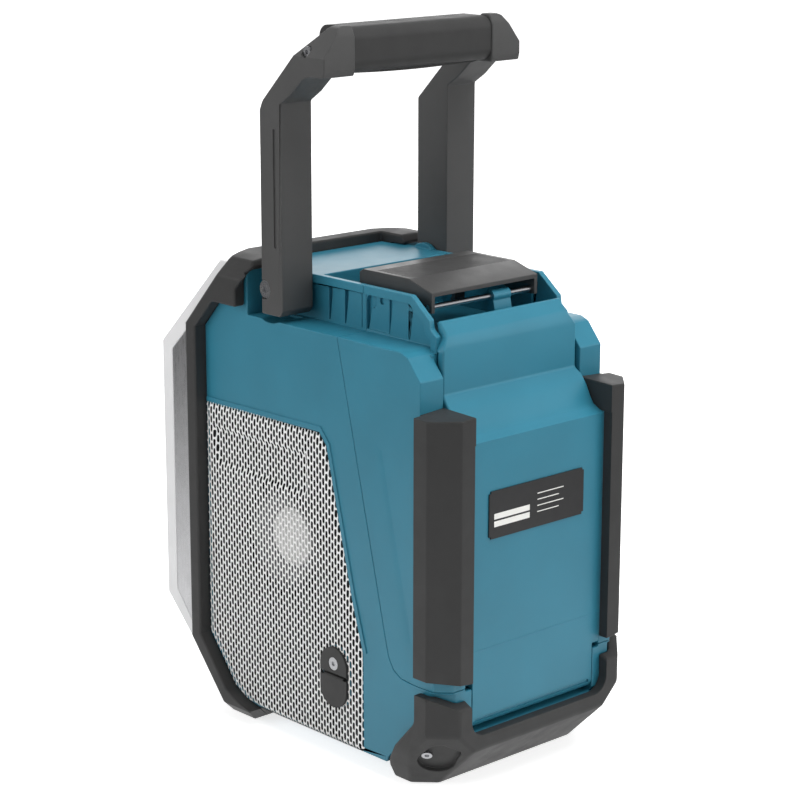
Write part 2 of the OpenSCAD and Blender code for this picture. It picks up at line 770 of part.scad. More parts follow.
module control_panel() color(black) {
    difference() {
        union() {
            block([-58.4, panel_y, face_bottom + 1.6], [58.4, panel_y + panel_t, face_top - 1.6]);
            for (x = [-46, 46], z = [100, 205]) rod_along_y(3, x, z, panel_y + panel_t - 0.5, board_y);
        }
        // Window rebate and the opening behind it
        block([-display_x, panel_y - 1, display_z[0]], [display_x, panel_y + 1.8, display_z[1]]);
        block([3 - display_x, panel_y - 1, display_z[0] + 3],
            [display_x - 3, panel_y + 5, display_z[1] - 3]);
        for (b = buttons) translate([b[0], panel_y - 1, b[1]])
            rounded_bar(b[2] + 2 * button_play, b[3] + 2 * button_play, 6);
        for (x = [-tweeter_x, tweeter_x]) {
            rod_along_y(tweeter_r + 0.15, x, tweeter_z, panel_y - 1, panel_y + 1.2);
            rod_along_y(tweeter_r - 1.5, x, tweeter_z, panel_y - 1, panel_y + 5);
        }
        rod_along_y(shaft_r + 2.2, 0, knob_z, panel_y - 1, panel_y + 5);
        rod_along_y(aux_r + 2.2, 0, aux_z, panel_y - 1, panel_y + 5);
    }
}

module display_window() color([0.35, 0.38, 0.36]) {
    block([0.15 - display_x, panel_y, display_z[0] + 0.15],
        [display_x - 0.15, panel_y + 1.8, display_z[1] - 0.15]);
}

module lcd_module() color([0.45, 0.50, 0.42]) {
    block([1 - display_x, panel_y + panel_t + 0.1, display_z[0]],
        [display_x - 1, board_y - 0.1, display_z[1]]);
}

module main_board() color(board_green) {
    difference() {
        union() {
            block([12.5 - bezel_x, board_y, tweeter_z + 10],
                [bezel_x - 12.5, board_y + board_t, face_top - 13]);
            // One tact switch behind each button
            for (b = buttons) {
                block([b[0] - 3, board_y - 2.6, b[1] - 3], [b[0] + 3, board_y + 0.2, b[1] + 3]);
                rod_along_y(1.5, b[0], b[1], board_y - 4, board_y - 2);
            }
            // Tuner and processor cans on the back
            block([-30, board_y + board_t - 0.1, 160], [-4, board_y + board_t + 4, 190]);
            block([8, board_y + board_t - 0.1, 165], [26, board_y + board_t + 2, 183]);
        }
        rod_along_y(shaft_r + 3, 0, knob_z, board_y - 5, board_y + 5);
        for (x = [-46, 46], z = [100, 205]) rod_along_y(1.2, x, z, board_y - 5, board_y + 5);
    }
}

module knob_shaft() color(steel) {
    rod_along_y(shaft_r, 0, knob_z, panel_y - 9, board_y + 1);
}

module tuning_knob() color(black) {
    tip = panel_y - 11.2;
    difference() {
        union() {
            rod_along_y(knob_r, 0, knob_z, tip + 1.2, panel_y - 3);
            rod_along_y(knob_r - 1.2, 0, knob_z, tip, tip + 2);
            rod_along_y(knob_r + 0.8, 0, knob_z, panel_y - 3, panel_y - 0.6);
        }
        // Finger dimple, grip flutes, and the bore on the shaft
        rod_along_y(4.5, 9.5, knob_z, tip - 1, tip + 1);
        for (i = [0:23]) translate([0, 0, knob_z]) rotate([0, i * 15, 0])
            rod_along_y(0.9, knob_r + 0.2, 0, tip - 1, panel_y - 3.6);
        rod_along_y(shaft_r, 0, knob_z, panel_y - 9, panel_y + 1);
        rod_along_y(shaft_r + 2.6, 0, knob_z, panel_y - 3.4, panel_y + 1);
    }
}

module knob_encoder() color(steel) {
    difference() {
        union() {
            block([-6.5, panel_y + panel_t + 0.2, knob_z - 6.5], [6.5, board_y - 0.1, knob_z + 6.5]);
            rod_along_y(shaft_r + 2, 0, knob_z, panel_y - 2, panel_y + panel_t + 1);
            rod_along_y(shaft_r + 2.8, 0, knob_z, board_y - 1, board_y + board_t + 1);
        }
        rod_along_y(shaft_r + run_play, 0, knob_z, panel_y - 5, board_y + 8);
    }
}

module push_button(b) {
    translate([b[0], 0, b[1]]) {
        translate([0, panel_y - 1.8, 0]) rounded_bar(b[2] - 1.6, b[3] - 1.6, 0.7);
        translate([0, panel_y - 1.3, 0]) rounded_bar(b[2], b[3], panel_t + 1.8);
        translate([0, panel_y + panel_t + 0.3, 0]) rounded_bar(b[2] + 2.4, b[3] + 2.4, 1.2);
        rod_along_y(2, 0, 0, panel_y + panel_t + 1, board_y - 4 - button_travel - 0.4);
    }
}

module power_button() color([0.55, 0.10, 0.08]) push_button(buttons[0]);
module source_button() color(rubber) push_button(buttons[1]);
module menu_button() color(rubber) push_button(buttons[2]);
module preset_button_1() color(rubber) push_button(buttons[3]);
module preset_button_2() color(rubber) push_button(buttons[4]);
module preset_button_3() color(rubber) push_button(buttons[5]);
module preset_button_4() color(rubber) push_button(buttons[6]);

module aux_jack() color(black) {
    difference() {
        union() {
            rod_along_y(aux_r + 2, 0, aux_z, panel_y, panel_y + panel_t + 0.5);
            block([-5, panel_y + panel_t + 0.1, aux_z - 5], [5, panel_y + 17, aux_z + 5]);
        }
        rod_along_y(aux_r, 0, aux_z, panel_y - 1, panel_y + 14);
    }
}

module perforated(r, pitch, hole) {
    n = ceil(r / pitch);
    for (i = [-n:n], j = [-n:n]) {
        x = (i + (j % 2 == 0 ? 0 : 0.5)) * pitch;
        z = j * pitch * 0.866;
        if (norm([x, z]) < r) translate([x, z]) circle(d = hole, $fn = 6);
    }
}

module tweeter_grille() {
    translate([tweeter_x, panel_y + 1.2, tweeter_z]) rotate([90, 0, 0]) linear_extrude(1.2)
        difference() {
            circle(r = tweeter_r);
            perforated(tweeter_r - 2.6, 3.6, 2.5);
        }
}

module tweeter_grille_right() color(silver) tweeter_grille();
module tweeter_grille_left() color(silver) mirror([1, 0, 0]) tweeter_grille();

module tweeter() {
    translate([tweeter_x, panel_y + panel_t + 0.1, tweeter_z]) rotate([-90, 0, 0]) rotate_extrude()
        polygon([[0, 12], [9, 12], [9, 5], [tweeter_r - 0.5, 3], [tweeter_r - 0.5, 0],
            [tweeter_r - 2.5, 0], [9, 2], [8, 0.6], [5.5, -0.6], [3, -1.2], [0, -1.4]]);
}

module tweeter_right() color(black) tweeter();
module tweeter_left() color(black) mirror([1, 0, 0]) tweeter();

// ---------------------------------------------------------------- speakers

// Upright slots with pointed ends, every second column half a row lower
module grille_slots() {
    a = slot_w / 2;
    b = slot_h / 2;
    for (i = [-13:15], j = [0:15]) {
        y = woofer_y + 0.4 + i * column_pitch;
        z = case_bottom + 8 + (j + (i % 2 == 0 ? 0 : 0.5)) * row_pitch;
        slant = y - 56.5 + max(0, z - 62) * 0.245;
        corner = (-76 - y) + (52 - z) * 0.87;
        if (z < 190 && y > -77 && y < 57 && slant < 0 && corner < 0 && z > case_bottom + 6)
            translate([y, z]) polygon([[-a, a - b], [0, -b], [a, a - b], [a, b - a], [0, b], [-a, b - a]]);
    }
}

module side_grille(cut) {
    p = 0.1;
    translate([side_x - grille_t, 0, 0]) rotate([90, 0, 90]) linear_extrude(grille_t + 0.2)
        difference() {
            polygon(inset(grille_outline, p));
            grille_slots();
            if (cut) port_cutout();
        }
}

// Cut-out round the power inlet's pad, as [y, z]
module port_cutout() {
    r = port_w / 2 + 0.6 + case_play;
    for (z = [port_low + port_w / 2, port_high - port_w / 2]) translate([inlet_y, z]) circle(r = r);
    translate([inlet_y - r, port_low + port_w / 2]) square([2 * r, port_high - port_low - port_w]);
}

module speaker_cloth(cut) {
    translate([side_x - grille_t - cloth_t, 0, 0]) rotate([90, 0, 90]) linear_extrude(cloth_t)
        difference() {
            polygon(inset(grille_outline, 0.3));
            if (cut) port_cutout();
        }
}

module side_grille_right() color(silver) side_grille(true);
module side_grille_left() color(silver) mirror([1, 0, 0]) side_grille(false);
module speaker_cloth_right() color(black) speaker_cloth(true);
module speaker_cloth_left() color(black) mirror([1, 0, 0]) speaker_cloth(false);

// Turns a profile [radius, distance from the grille side] about the woofer's axis
module woofer_turn(profile) {
    translate([inner_x, woofer_y, woofer_z]) rotate([0, -90, 0]) rotate_extrude($fn = 64)
        polygon(profile);
}

module woofer_frame() {
    woofer_turn([[woofer_r - 3, 0], [woofer_r + 6, 0], [woofer_r + 6, 2.4], [woofer_r + 1, 2.4],
        [27, 21], [27, 25], [12, 25], [12, 23], [25, 23], [25, 20.4], [woofer_r - 2, 4],
        [woofer_r - 3, 3]]);
}

module woofer_surround() {
    woofer_turn([[woofer_r - 3.1, 0.4], [woofer_r - 3.1, 2], [woofer_r - 5, 1.2], [woofer_r - 7, 0.9],
        [woofer_r - 9, 1.4], [woofer_r - 10.4, 3], [woofer_r - 10.4, 1.6], [woofer_r - 9, -0.4],
        [woofer_r - 7, -1.2], [woofer_r - 5, -0.8]]);
}

module woofer_cone() {
    cap = 12;
    woofer_turn([[0, 4.2], [cap * 0.5, 4.9], [cap * 0.85, 6.6], [cap, 8.6], [woofer_r - 10.5, 1.7],
        [woofer_r - 10.5, 3.1], [cap + 0.5, 14.5], [cap - 1, 22.6], [cap - 2.2, 22.6],
        [cap - 2, 10.6], [cap * 0.8, 8.4], [cap * 0.5, 6.6], [0, 5.8]]);
}

module woofer_magnet() {
    difference() {
        woofer_turn([[0, 25.1], [14, 25.1], [14, 26], [25, 26], [26, 27], [26, 38], [25, 39],
            [0, 39]]);
        rod_x(3, woofer_y, woofer_z, inner_x - 40, inner_x - 20);
    }
}

module woofer_frame_right() color(steel) woofer_frame();
module woofer_frame_left() color(steel) mirror([1, 0, 0]) woofer_frame();
module woofer_surround_right() color(rubber) woofer_surround();
module woofer_surround_left() color(rubber) mirror([1, 0, 0]) woofer_surround();
module woofer_cone_right() color(black) woofer_cone();
module woofer_cone_left() color(black) mirror([1, 0, 0]) woofer_cone();
module woofer_magnet_right() color(steel) woofer_magnet();
module woofer_magnet_left() color(steel) mirror([1, 0, 0]) woofer_magnet();

// ---------------------------------------------------------------- inlet

module dc_jack() color(black) {
    difference() {
        union() {
            rod_x(6.8, inlet_y, inlet_z, inner_x - 2, side_x - 0.4);
            block([inner_x - inlet_depth - 4, inlet_y - 8, case_bottom + wall],
                [inner_x - 0.1, inlet_y + 8, inlet_z + 8]);
        }
        rod_x(inlet_r, inlet_y, inlet_z, side_x - 0.4 - inlet_depth, side_x);
    }
}

port_x = side_x + 0.3;
port_pin_r = 1.1;
port_screw_r = 3.9;
port_screw_z = port_hinge_z + 8.3;

module dc_cover_base() color(rubber) {
    r = port_w / 2;
    difference() {
        union() {
            rod_x(r, inlet_y, port_high - r, side_x, port_x + port_t);
            block([side_x, inlet_y - r, port_hinge_z + 1.5],
                [port_x + port_t, inlet_y + r, port_high - r]);
        }
        block([side_x - 1, inlet_y - r - 1, 0], [port_x + port_t + 1, inlet_y + r + 1, port_hinge_z + 1.5]);
        // Lower edge cut back, clear of the flap as it turns
        prism_y([[port_x + 0.5, port_hinge_z + 1.4], [port_x + port_t + 0.6, port_hinge_z + 1.4],
            [port_x + port_t + 0.6, port_hinge_z + 3]], inlet_y - r - 1, inlet_y + r + 1);
        rod_x(port_screw_r + 0.2, inlet_y, port_screw_z, port_x + 1, port_x + port_t + 1);
        rod_x(1.5, inlet_y, port_screw_z, side_x - 1, port_x + port_t + 1);
    }
}

module dc_cover_screw() color(steel) {
    difference() {
        rod_x(port_screw_r, inlet_y, port_screw_z, port_x + 1, port_x + port_t - 0.2);
        rod_x(1.5, inlet_y, port_screw_z, port_x + port_t - 1, port_x + port_t + 1, $fn = 6);
    }
    rod_x(1.45, inlet_y, port_screw_z, side_x, port_x + 1.2);
}

module dc_port_cover() color(rubber) {
    r = port_w / 2;
    difference() {
        union() {
            rod_x(r, inlet_y, port_low + r, port_x, port_x + port_t);
            block([port_x, inlet_y - r, port_low + r], [port_x + port_t, inlet_y + r, port_hinge_z]);
        }
        block([side_x, inlet_y - r - 1, port_hinge_z - 0.1], [port_x + 5, inlet_y + r + 1, port_high]);
    }
    translate([port_x + port_t / 2, inlet_y + r - 3, port_hinge_z]) rotate([90, 0, 0])
        cylinder(r = port_pin_r, h = port_w - 6);
    // Plug on its inner face
    rod_x(4, inlet_y, inlet_z, port_x - 0.5, port_x + 1);
}

// ---------------------------------------------------------------- inside

module battery_bay() color(black) {
    out = bay_x + 4;
    difference() {
        block([-out, bay_front, bay_bottom - 3], [out, bay_wall_y - wall - 0.15, bay_top + 3]);
        block([-bay_x, bay_front + 2.5, bay_bottom], [bay_x, rear_y, bay_top]);
    }
}

module battery_terminal() color(black) {
    base = bay_front + 2.5;
    difference() {
        union() {
            block([-34, base, bay_top - 42], [34, base + 9, bay_top - 4]);
            // Rails for the battery's slide
            both_sides() block([24, base + 8.5, bay_top - 42], [34, base + 16, bay_top - 4]);
            both_sides() block([20, base + 12.5, bay_top - 42], [34, base + 16, bay_top - 4]);
        }
        // Contact slots
        for (x = [-14, 14]) block([x - 1.5, base + 3, bay_top - 50], [x + 1.5, base + 10, bay_top - 14]);
    }
    both_sides() block([13.5, base + 3, bay_top - 14.2], [14.5, base + 12, bay_top - 12]);
}

module amp_board() color(board_green) {
    block([-44, bay_front - 8, 100], [44, bay_front - 6.4, 180]);
    for (x = [-38, 38], z = [106, 174]) rod_along_y(3, x, z, bay_front - 6.5, bay_front - 0.1);
    block([-30, bay_front - 20, 130], [20, bay_front - 7.9, 142]);
    for (x = [-34, -20]) rod_along_y(5, x, 160, bay_front - 20, bay_front - 7.9);
}

module ferrite_antenna() color([0.25, 0.22, 0.20]) {
    z = deck_z - wall - 7;
    rod_x(4.5, -30, z, -34, 34);
    for (x = [-28, 22]) block([x, -33, z + 1], [x + 6, -27, deck_z - wall - 0.1]);
}

module cover_seal() color(rubber) {
    difference() {
        block([-bay_x - 3.4, bay_wall_y + 0.05, bay_bottom - 3.4],
            [bay_x + 2.4, bay_wall_y + 1.6, bay_top + 3.4]);
        block([-bay_x - 0.6, bay_wall_y - 1, bay_bottom - 0.6],
            [bay_x + 0.6, bay_wall_y + 3, bay_top + 0.6]);
    }
}

// ---------------------------------------------------------------- battery cover

cover_face = moved([[0, cover_shoulder], [-6.5, 210.5], [-9.5, 215], [-13.5, 222.5], [-17.5, 227.5],
    [-21.5, 231], [-21.5, ledge_z], [-24, 264], [-27.5, 268], [-30, 271.5]], [cover_y, 0]);
tongue_y = cover_y - 48.5;

// Side view of the neck, up to the lip, and of its tongue over the well's floor
module cover_neck() {
    outline = concat([[cover_front, cover_shoulder - 3], [cover_y, cover_shoulder - 3]], cover_face,
        [[cover_y - 32.9, 270.5], [cover_y - 31, 262], [cover_y - 33.5, 259.6], [tongue_y, 259.6],
        [tongue_y, well_floor + 0.6], [cover_front - 0.4, well_floor + 0.6]]);
    hollow = [[cover_front - 1, cover_shoulder - 4], [cover_y - cover_wall, cover_shoulder - 4],
        [cover_y - cover_wall, cover_shoulder - 1.5], [cover_y - 8.7, 208.3], [cover_y - 12.1, 213.4],
        [cover_y - 16, 220.5], [cover_y - 19.5, 225.1], [cover_y - 24.3, 229], [cover_y - 24.3, 245],
        [cover_front - 1, 245]];
    difference() {
        prism_x(outline, -neck_half, neck_half);
        prism_x(hollow, cover_wall - neck_half, neck_half - cover_wall);
    }
}

module cover_body() {
    outline = [[cover_front, 66], [cover_y, 66], [cover_y, cover_shoulder], [cover_front, cover_shoulder]];
    difference() {
        union() {
            prism_x(outline, -cover_half, cover_half);
            prism_x([[cover_y - 14, cover_shoulder - 0.1], [cover_y, cover_shoulder - 0.1],
                cover_face[1], cover_face[2], [cover_y - 14, 215]], -49.5, 49.5);
        }
        block([cover_wall - cover_half, cover_front - 1, 66 + cover_wall],
            [cover_half - cover_wall, cover_y - cover_wall, cover_shoulder - cover_wall]);
        block([cover_wall - neck_half, cover_front - 1, 100],
            [neck_half - cover_wall, cover_y - cover_wall, 212]);
        // Open below, so that a long battery can reach down
        block([1 - bay_x, cover_front - 1, 65], [bay_x - 1, cover_y - cover_wall, 66 + cover_wall + 1]);
    }
}

module cover_knuckle() {
    skin = [[cover_y - cover_wall, hinge_z], [cover_y, hinge_z], [cover_y, 67],
        [cover_y - cover_wall, 67]];
    difference() {
        union() {
            prism_x(skin, -49.5, 49.5);
            rod_x(hinge_boss, hinge_y, hinge_z, -49.5, 49.5);
        }
        rod_x(hinge_r + run_play, hinge_y, hinge_z, -50, 50);
        // Finger groove along the lower edge
        block([-47, cover_y - 1.4, hinge_z - 1.5], [47, cover_y + 1, hinge_z + 0.6]);
    }
    both_sides() prism_x([[cover_front + 10, 60], [cover_y - 1, 60], [cover_y - 1, 69],
        [cover_front + 10, 69]], bay_x - 0.5, 49);
}

// Arm from the lip to the latch's rod
module latch_knuckle() {
    difference() {
        union() {
            rod_x(rod_r + 1.8, rod_y, rod_z, -21, -7);
            prism_x([[rod_y - 2.5, 259], [rod_y + 6, 259], [rod_y + 2.6, rod_z], [rod_y - 2.6, rod_z]],
                -21, -7);
        }
        rod_x(rod_r, rod_y, rod_z, -30, 0);
    }
}

module battery_cover() color(teal) {
    cover_neck();
    cover_body();
    cover_knuckle();
    latch_knuckle();
}

module cover_hinge_pin() color(steel) {
    rod_x(hinge_r, hinge_y, hinge_z, -cover_half - 0.2, cover_half + 0.2);
}

label_half = 38.4;
label_z = [149.4, 177.3];
module label_plate() color(black) {
    difference() {
        block([-label_half, cover_y, label_z[0]], [label_half, cover_y + 0.8, label_z[1]]);
        both_sides() for (z = label_z)
            block([label_half - 1.4, cover_y - 1, z - 1.4], [label_half + 1, cover_y + 2, z + 1.4]);
    }
}

module latch_rod() color(steel) {
    rod_x(rod_r, rod_y, rod_z, 0.3 - lever_half, lever_half - 0.3);
}

// Inverted tray with deep side plates round the rod, a ribbed top and two catch legs
lever_back = rod_y + 3.7;
lever_bend = rod_y - 15;
lever_outline = [[lever_front, 281.5], [lever_front + 26, 279.5], [rod_y - 18, 272.6],
    [lever_back, 272.6], [lever_back, lever_top - 5.6], [lever_bend, lever_top],
    [lever_front + 3, lever_top], [lever_front, lever_top - 2]];
module latch_lever() color(black) {
    t = lever_wall;
    difference() {
        prism_x(lever_outline, -lever_half, lever_half);
        // Hollow under the top, open at the rear
        difference() {
            prism_x([[lever_front + t, 260], [lever_back + 1, 260], [lever_back + 1, lever_top - 6 - t],
                [lever_bend, lever_top - t], [lever_front + t, lever_top - t]],
                t - lever_half, lever_half - t);
            both_sides() block([20, lever_front, 255], [22.5, rod_y - 24, 300]);
        }
        // Fine ribs run aslant across the top
        intersection() {
            block([3 - lever_half, lever_front + 12, lever_top - 0.5],
                [lever_half - 3, lever_bend - 0.5, lever_top + 1]);
            for (i = [-19:19]) translate([i * 3, (lever_front + lever_bend) / 2, lever_top])
                rotate([0, 0, 45]) cube([1, 90, 2], center = true);
        }
        rod_x(rod_r + run_play, rod_y, rod_z, -lever_half - 1, lever_half + 1);
    }
    // Catch legs with rounded noses
    both_sides() {
        block([24, lever_front + 8, 262], [32, lever_front + 11, lever_top - t + 0.3]);
        rod_x(1.8, lever_front + 8.6, 263.6, 24, 32);
    }
}

// ---------------------------------------------------------------- handle

arm_side = [[arm_front, arm_bottom], [arm_back, arm_bottom], [arm_back, handle_top - 45],
    [5, handle_top - 39], [15, handle_top - 30], [21, handle_top - 28], [grip_y + grip_d / 2, handle_top - 28],
    [grip_y + grip_d / 2 + 1, handle_top - 24], [grip_y + grip_d / 2 + 1, handle_top - 6],
    [grip_y + grip_d / 2 - 2, handle_top], [25, handle_top], [24, handle_top],
    [arm_front, handle_top - 24 + arm_front]];

module handle_arm() {
    difference() {
        intersection() {
            prism_x(arm_side, arm_x, arm_out);
            union() {
                rod_x(heel_r, pivot_y, pivot_z, arm_x, arm_out);
                block([arm_x, -60, pivot_z], [arm_out, 60, handle_top]);
            }
            // Outer corner over the grip, and the long chamfer down the front
            prism_y([[arm_x, 0], [arm_out, 0], [arm_out, handle_top - 17], [64, handle_top - 1],
                [61, handle_top], [arm_x, handle_top]], -60, 60);
            union() {
                prism_z([[arm_x, arm_front], [arm_out - 8, arm_front], [arm_out, arm_front + 7.5],
                    [arm_out, 60], [arm_x, 60]], 0, handle_top - 50);
                block([arm_x, -60, handle_top - 50.1], [arm_out, 60, handle_top]);
            }
        }
        // Pivot bore with a seat for the bolt's head
        rod_x(pivot_r + run_play, pivot_y, pivot_z, arm_x - 1, arm_out + 1);
        rod_x(pivot_r + 1.7, pivot_y, pivot_z, arm_out - 4, arm_out + 1);
        // Shallow channel down the outer face, which leaves a ridge
        prism_x([[-11, arm_bottom + 40], [-8.8, arm_bottom + 40], [-8.8, handle_top - 60],
            [-11, handle_top - 60]], arm_out - 1, arm_out + 1);
        // Cap screw
        rod_x(3.3, grip_y - 1.6, grip_z - 0.5, arm_out - 5.5, arm_out + 1);
        rod_x(1.8, grip_y - 1.6, grip_z - 0.5, arm_x - 1, arm_out);
    }
}

module handle_arm_right() color(black) handle_arm();
module handle_arm_left() color(black) mirror([1, 0, 0]) handle_arm();

module grip_section(w, h, r) {
    square([w - 2 * r, h], center = true);
    square([w, h - 2 * r], center = true);
    for (x = [-1, 1], y = [-1, 1]) translate([x * (w / 2 - r), y * (h / 2 - r)]) circle(r = r);
}

module handle_grip() color(rubber) {
    half = arm_x - 0.15;
    belly = 1.5;
    belly_r = half * half / (2 * belly) + belly / 2;
    difference() {
        union() {
            translate([-half, grip_y, grip_z]) rotate([90, 0, 90]) linear_extrude(2 * half)
                grip_section(grip_d, grip_h, 7);
            // Underside swells towards the middle
            intersection() {
                translate([0, grip_y + grip_d / 2 - 7, grip_z - grip_h / 2 - belly + belly_r])
                    rotate([90, 0, 0]) cylinder(r = belly_r, h = grip_d - 14, $fn = 360);
                block([-half, -30, grip_z - grip_h / 2 - 3], [half, 60, grip_z - grip_h / 2 + 2]);
            }
        }
        rod_x(8.1, grip_y - 1.6, grip_z - 0.5, -half - 1, half + 1);
    }
}

module handle_core() color(steel) {
    difference() {
        rod_x(8, grip_y - 1.6, grip_z - 0.5, -arm_x + 0.05, arm_x - 0.05);
        both_sides() rod_x(1.5, grip_y - 1.6, grip_z - 0.5, arm_x - 16, arm_x + 1);
    }
}

module handle_screws() color(steel) {
    both_sides() {
        difference() {
            rod_x(3.1, grip_y - 1.6, grip_z - 0.5, arm_out - 5.4, arm_out - 2.6);
            rod_x(1.4, grip_y - 1.6, grip_z - 0.5, arm_out - 4, arm_out, $fn = 6);
        }
        rod_x(1.5, grip_y - 1.6, grip_z - 0.5, arm_x - 12, arm_out - 5.2);
    }
}

module handle_pivot_bolts() color(steel) {
    both_sides() {
        rod_x(pivot_r, pivot_y, pivot_z, block_x - 8.5, arm_out - 3.6);
        difference() {
            rod_x(pivot_r + 1.4, pivot_y, pivot_z, arm_out - 3.7, arm_out - 1.5);
            rod_x(2.2, pivot_y, pivot_z, arm_out - 2.4, arm_out, $fn = 6);
        }
    }
}

front_housing();
rear_housing();
front_bumper();
lower_bumper();
corner_guard_right();
corner_guard_left();
front_bezel();
front_frame();
control_panel();
display_window();
lcd_module();
main_board();
tuning_knob();
knob_shaft();
knob_encoder();
power_button();
source_button();
menu_button();
preset_button_1();
preset_button_2();
preset_button_3();
preset_button_4();
aux_jack();
tweeter_grille_right();
tweeter_grille_left();
tweeter_right();
tweeter_left();
side_grille_right();
side_grille_left();
speaker_cloth_right();
speaker_cloth_left();
woofer_frame_right();
woofer_frame_left();
woofer_surround_right();
woofer_surround_left();
woofer_cone_right();
woofer_cone_left();
woofer_magnet_right();
woofer_magnet_left();
dc_jack();
dc_cover_base();
dc_cover_screw();
dc_port_cover();
amp_board();
ferrite_antenna();
battery_bay();
battery_terminal();
cover_seal();
battery_cover();
cover_hinge_pin();
label_plate();
latch_rod();
latch_lever();
handle_arm_right();
handle_arm_left();
handle_grip();
handle_core();
handle_screws();
handle_pivot_bolts();
bumper_screws();
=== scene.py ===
import json
import math

import bmesh
import bpy
from mathutils import Matrix, Vector


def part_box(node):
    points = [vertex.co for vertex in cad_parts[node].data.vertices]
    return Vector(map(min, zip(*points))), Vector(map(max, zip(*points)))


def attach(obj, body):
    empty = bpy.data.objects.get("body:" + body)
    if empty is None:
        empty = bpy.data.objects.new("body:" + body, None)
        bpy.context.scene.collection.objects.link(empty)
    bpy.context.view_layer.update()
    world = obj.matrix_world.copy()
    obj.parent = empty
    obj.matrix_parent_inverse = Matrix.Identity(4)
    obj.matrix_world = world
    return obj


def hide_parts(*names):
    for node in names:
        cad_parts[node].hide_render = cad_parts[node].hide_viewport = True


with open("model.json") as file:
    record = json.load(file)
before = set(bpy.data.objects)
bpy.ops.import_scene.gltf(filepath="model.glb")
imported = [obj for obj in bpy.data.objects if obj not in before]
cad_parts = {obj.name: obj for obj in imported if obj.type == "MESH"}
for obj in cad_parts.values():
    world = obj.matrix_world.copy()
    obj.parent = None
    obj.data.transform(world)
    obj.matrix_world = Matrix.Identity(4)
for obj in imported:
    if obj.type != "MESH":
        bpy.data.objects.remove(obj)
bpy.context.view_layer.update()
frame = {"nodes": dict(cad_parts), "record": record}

# Everything is in metres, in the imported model's own frame: +Z up, the radio's front faces -Y.
MM = 0.001
scene = bpy.context.scene


# ---------------------------------------------------------------- camera, light and floor

CAMERA_PLACE = Vector((0.93728, 1.03054, 0.55415))
CAMERA_AZIMUTH, CAMERA_ELEVATION, CAMERA_ROLL = (math.radians(v) for v in (137.36, 14.27, 0.08))
SENSOR = 36.0
FOCAL_PIXELS = 2378
PHOTO_PIXELS = 800


def make_camera():
    back = Vector((math.sin(CAMERA_AZIMUTH) * math.cos(CAMERA_ELEVATION),
                   -math.cos(CAMERA_AZIMUTH) * math.cos(CAMERA_ELEVATION),
                   math.sin(CAMERA_ELEVATION)))
    level = Vector((0, 0, 1)).cross(back).normalized()
    upright = back.cross(level)
    right = level * math.cos(CAMERA_ROLL) + upright * math.sin(CAMERA_ROLL)
    up = upright * math.cos(CAMERA_ROLL) - level * math.sin(CAMERA_ROLL)
    camera = bpy.data.objects.new("camera", bpy.data.cameras.new("camera"))
    camera.data.sensor_width = SENSOR
    camera.data.lens = SENSOR * FOCAL_PIXELS / PHOTO_PIXELS
    camera.data.clip_end = 30
    camera.matrix_world = Matrix((
        (right.x, up.x, back.x, CAMERA_PLACE.x),
        (right.y, up.y, back.y, CAMERA_PLACE.y),
        (right.z, up.z, back.z, CAMERA_PLACE.z),
        (0, 0, 0, 1)))
    scene.collection.objects.link(camera)
    scene.camera = camera


def softbox(name, place, aim, size, power, reflected=True):
    lamp = bpy.data.lights.new(name, "AREA")
    lamp.shape = "SQUARE"
    lamp.size = size
    lamp.energy = power
    holder = bpy.data.objects.new(name, lamp)
    holder.location = place
    holder.rotation_euler = (Vector(aim) - Vector(place)).to_track_quat("-Z", "Y").to_euler()
    holder.visible_glossy = reflected
    scene.collection.objects.link(holder)


def joined(tree, operation, a, b):
    """A maths node on two sockets, or on a socket and a number."""
    node = tree.nodes.new("ShaderNodeMath")
    node.operation = operation
    for value, socket in zip((a, b), node.inputs):
        if isinstance(value, (int, float)):
            socket.default_value = value
        else:
            tree.links.new(value, socket)
    return node.outputs[0]


def faded(tree, value, start, end, first, last):
    """A value that runs from first to last as the input runs from start to end."""
    node = tree.nodes.new("ShaderNodeMapRange")
    for name, number in (("From Min", start), ("From Max", end), ("To Min", first),
                         ("To Max", last)):
        node.inputs[name].default_value = number
    tree.links.new(value, node.inputs["Value"])
    return node.outputs[0]


def shown_strength(tree, reflected):
    """Which rays see the white, and how strongly: in full, or as given for glossy rays."""
    path = tree.nodes.new("ShaderNodeLightPath")
    straight = joined(tree, "MAXIMUM", path.outputs["Is Camera Ray"],
                      path.outputs["Is Transmission Ray"])
    glossy = joined(tree, "MULTIPLY", path.outputs["Is Glossy Ray"], reflected)
    shown = joined(tree, "MAXIMUM", straight, path.outputs["Is Glossy Ray"])
    return shown, joined(tree, "MAXIMUM", straight, glossy)


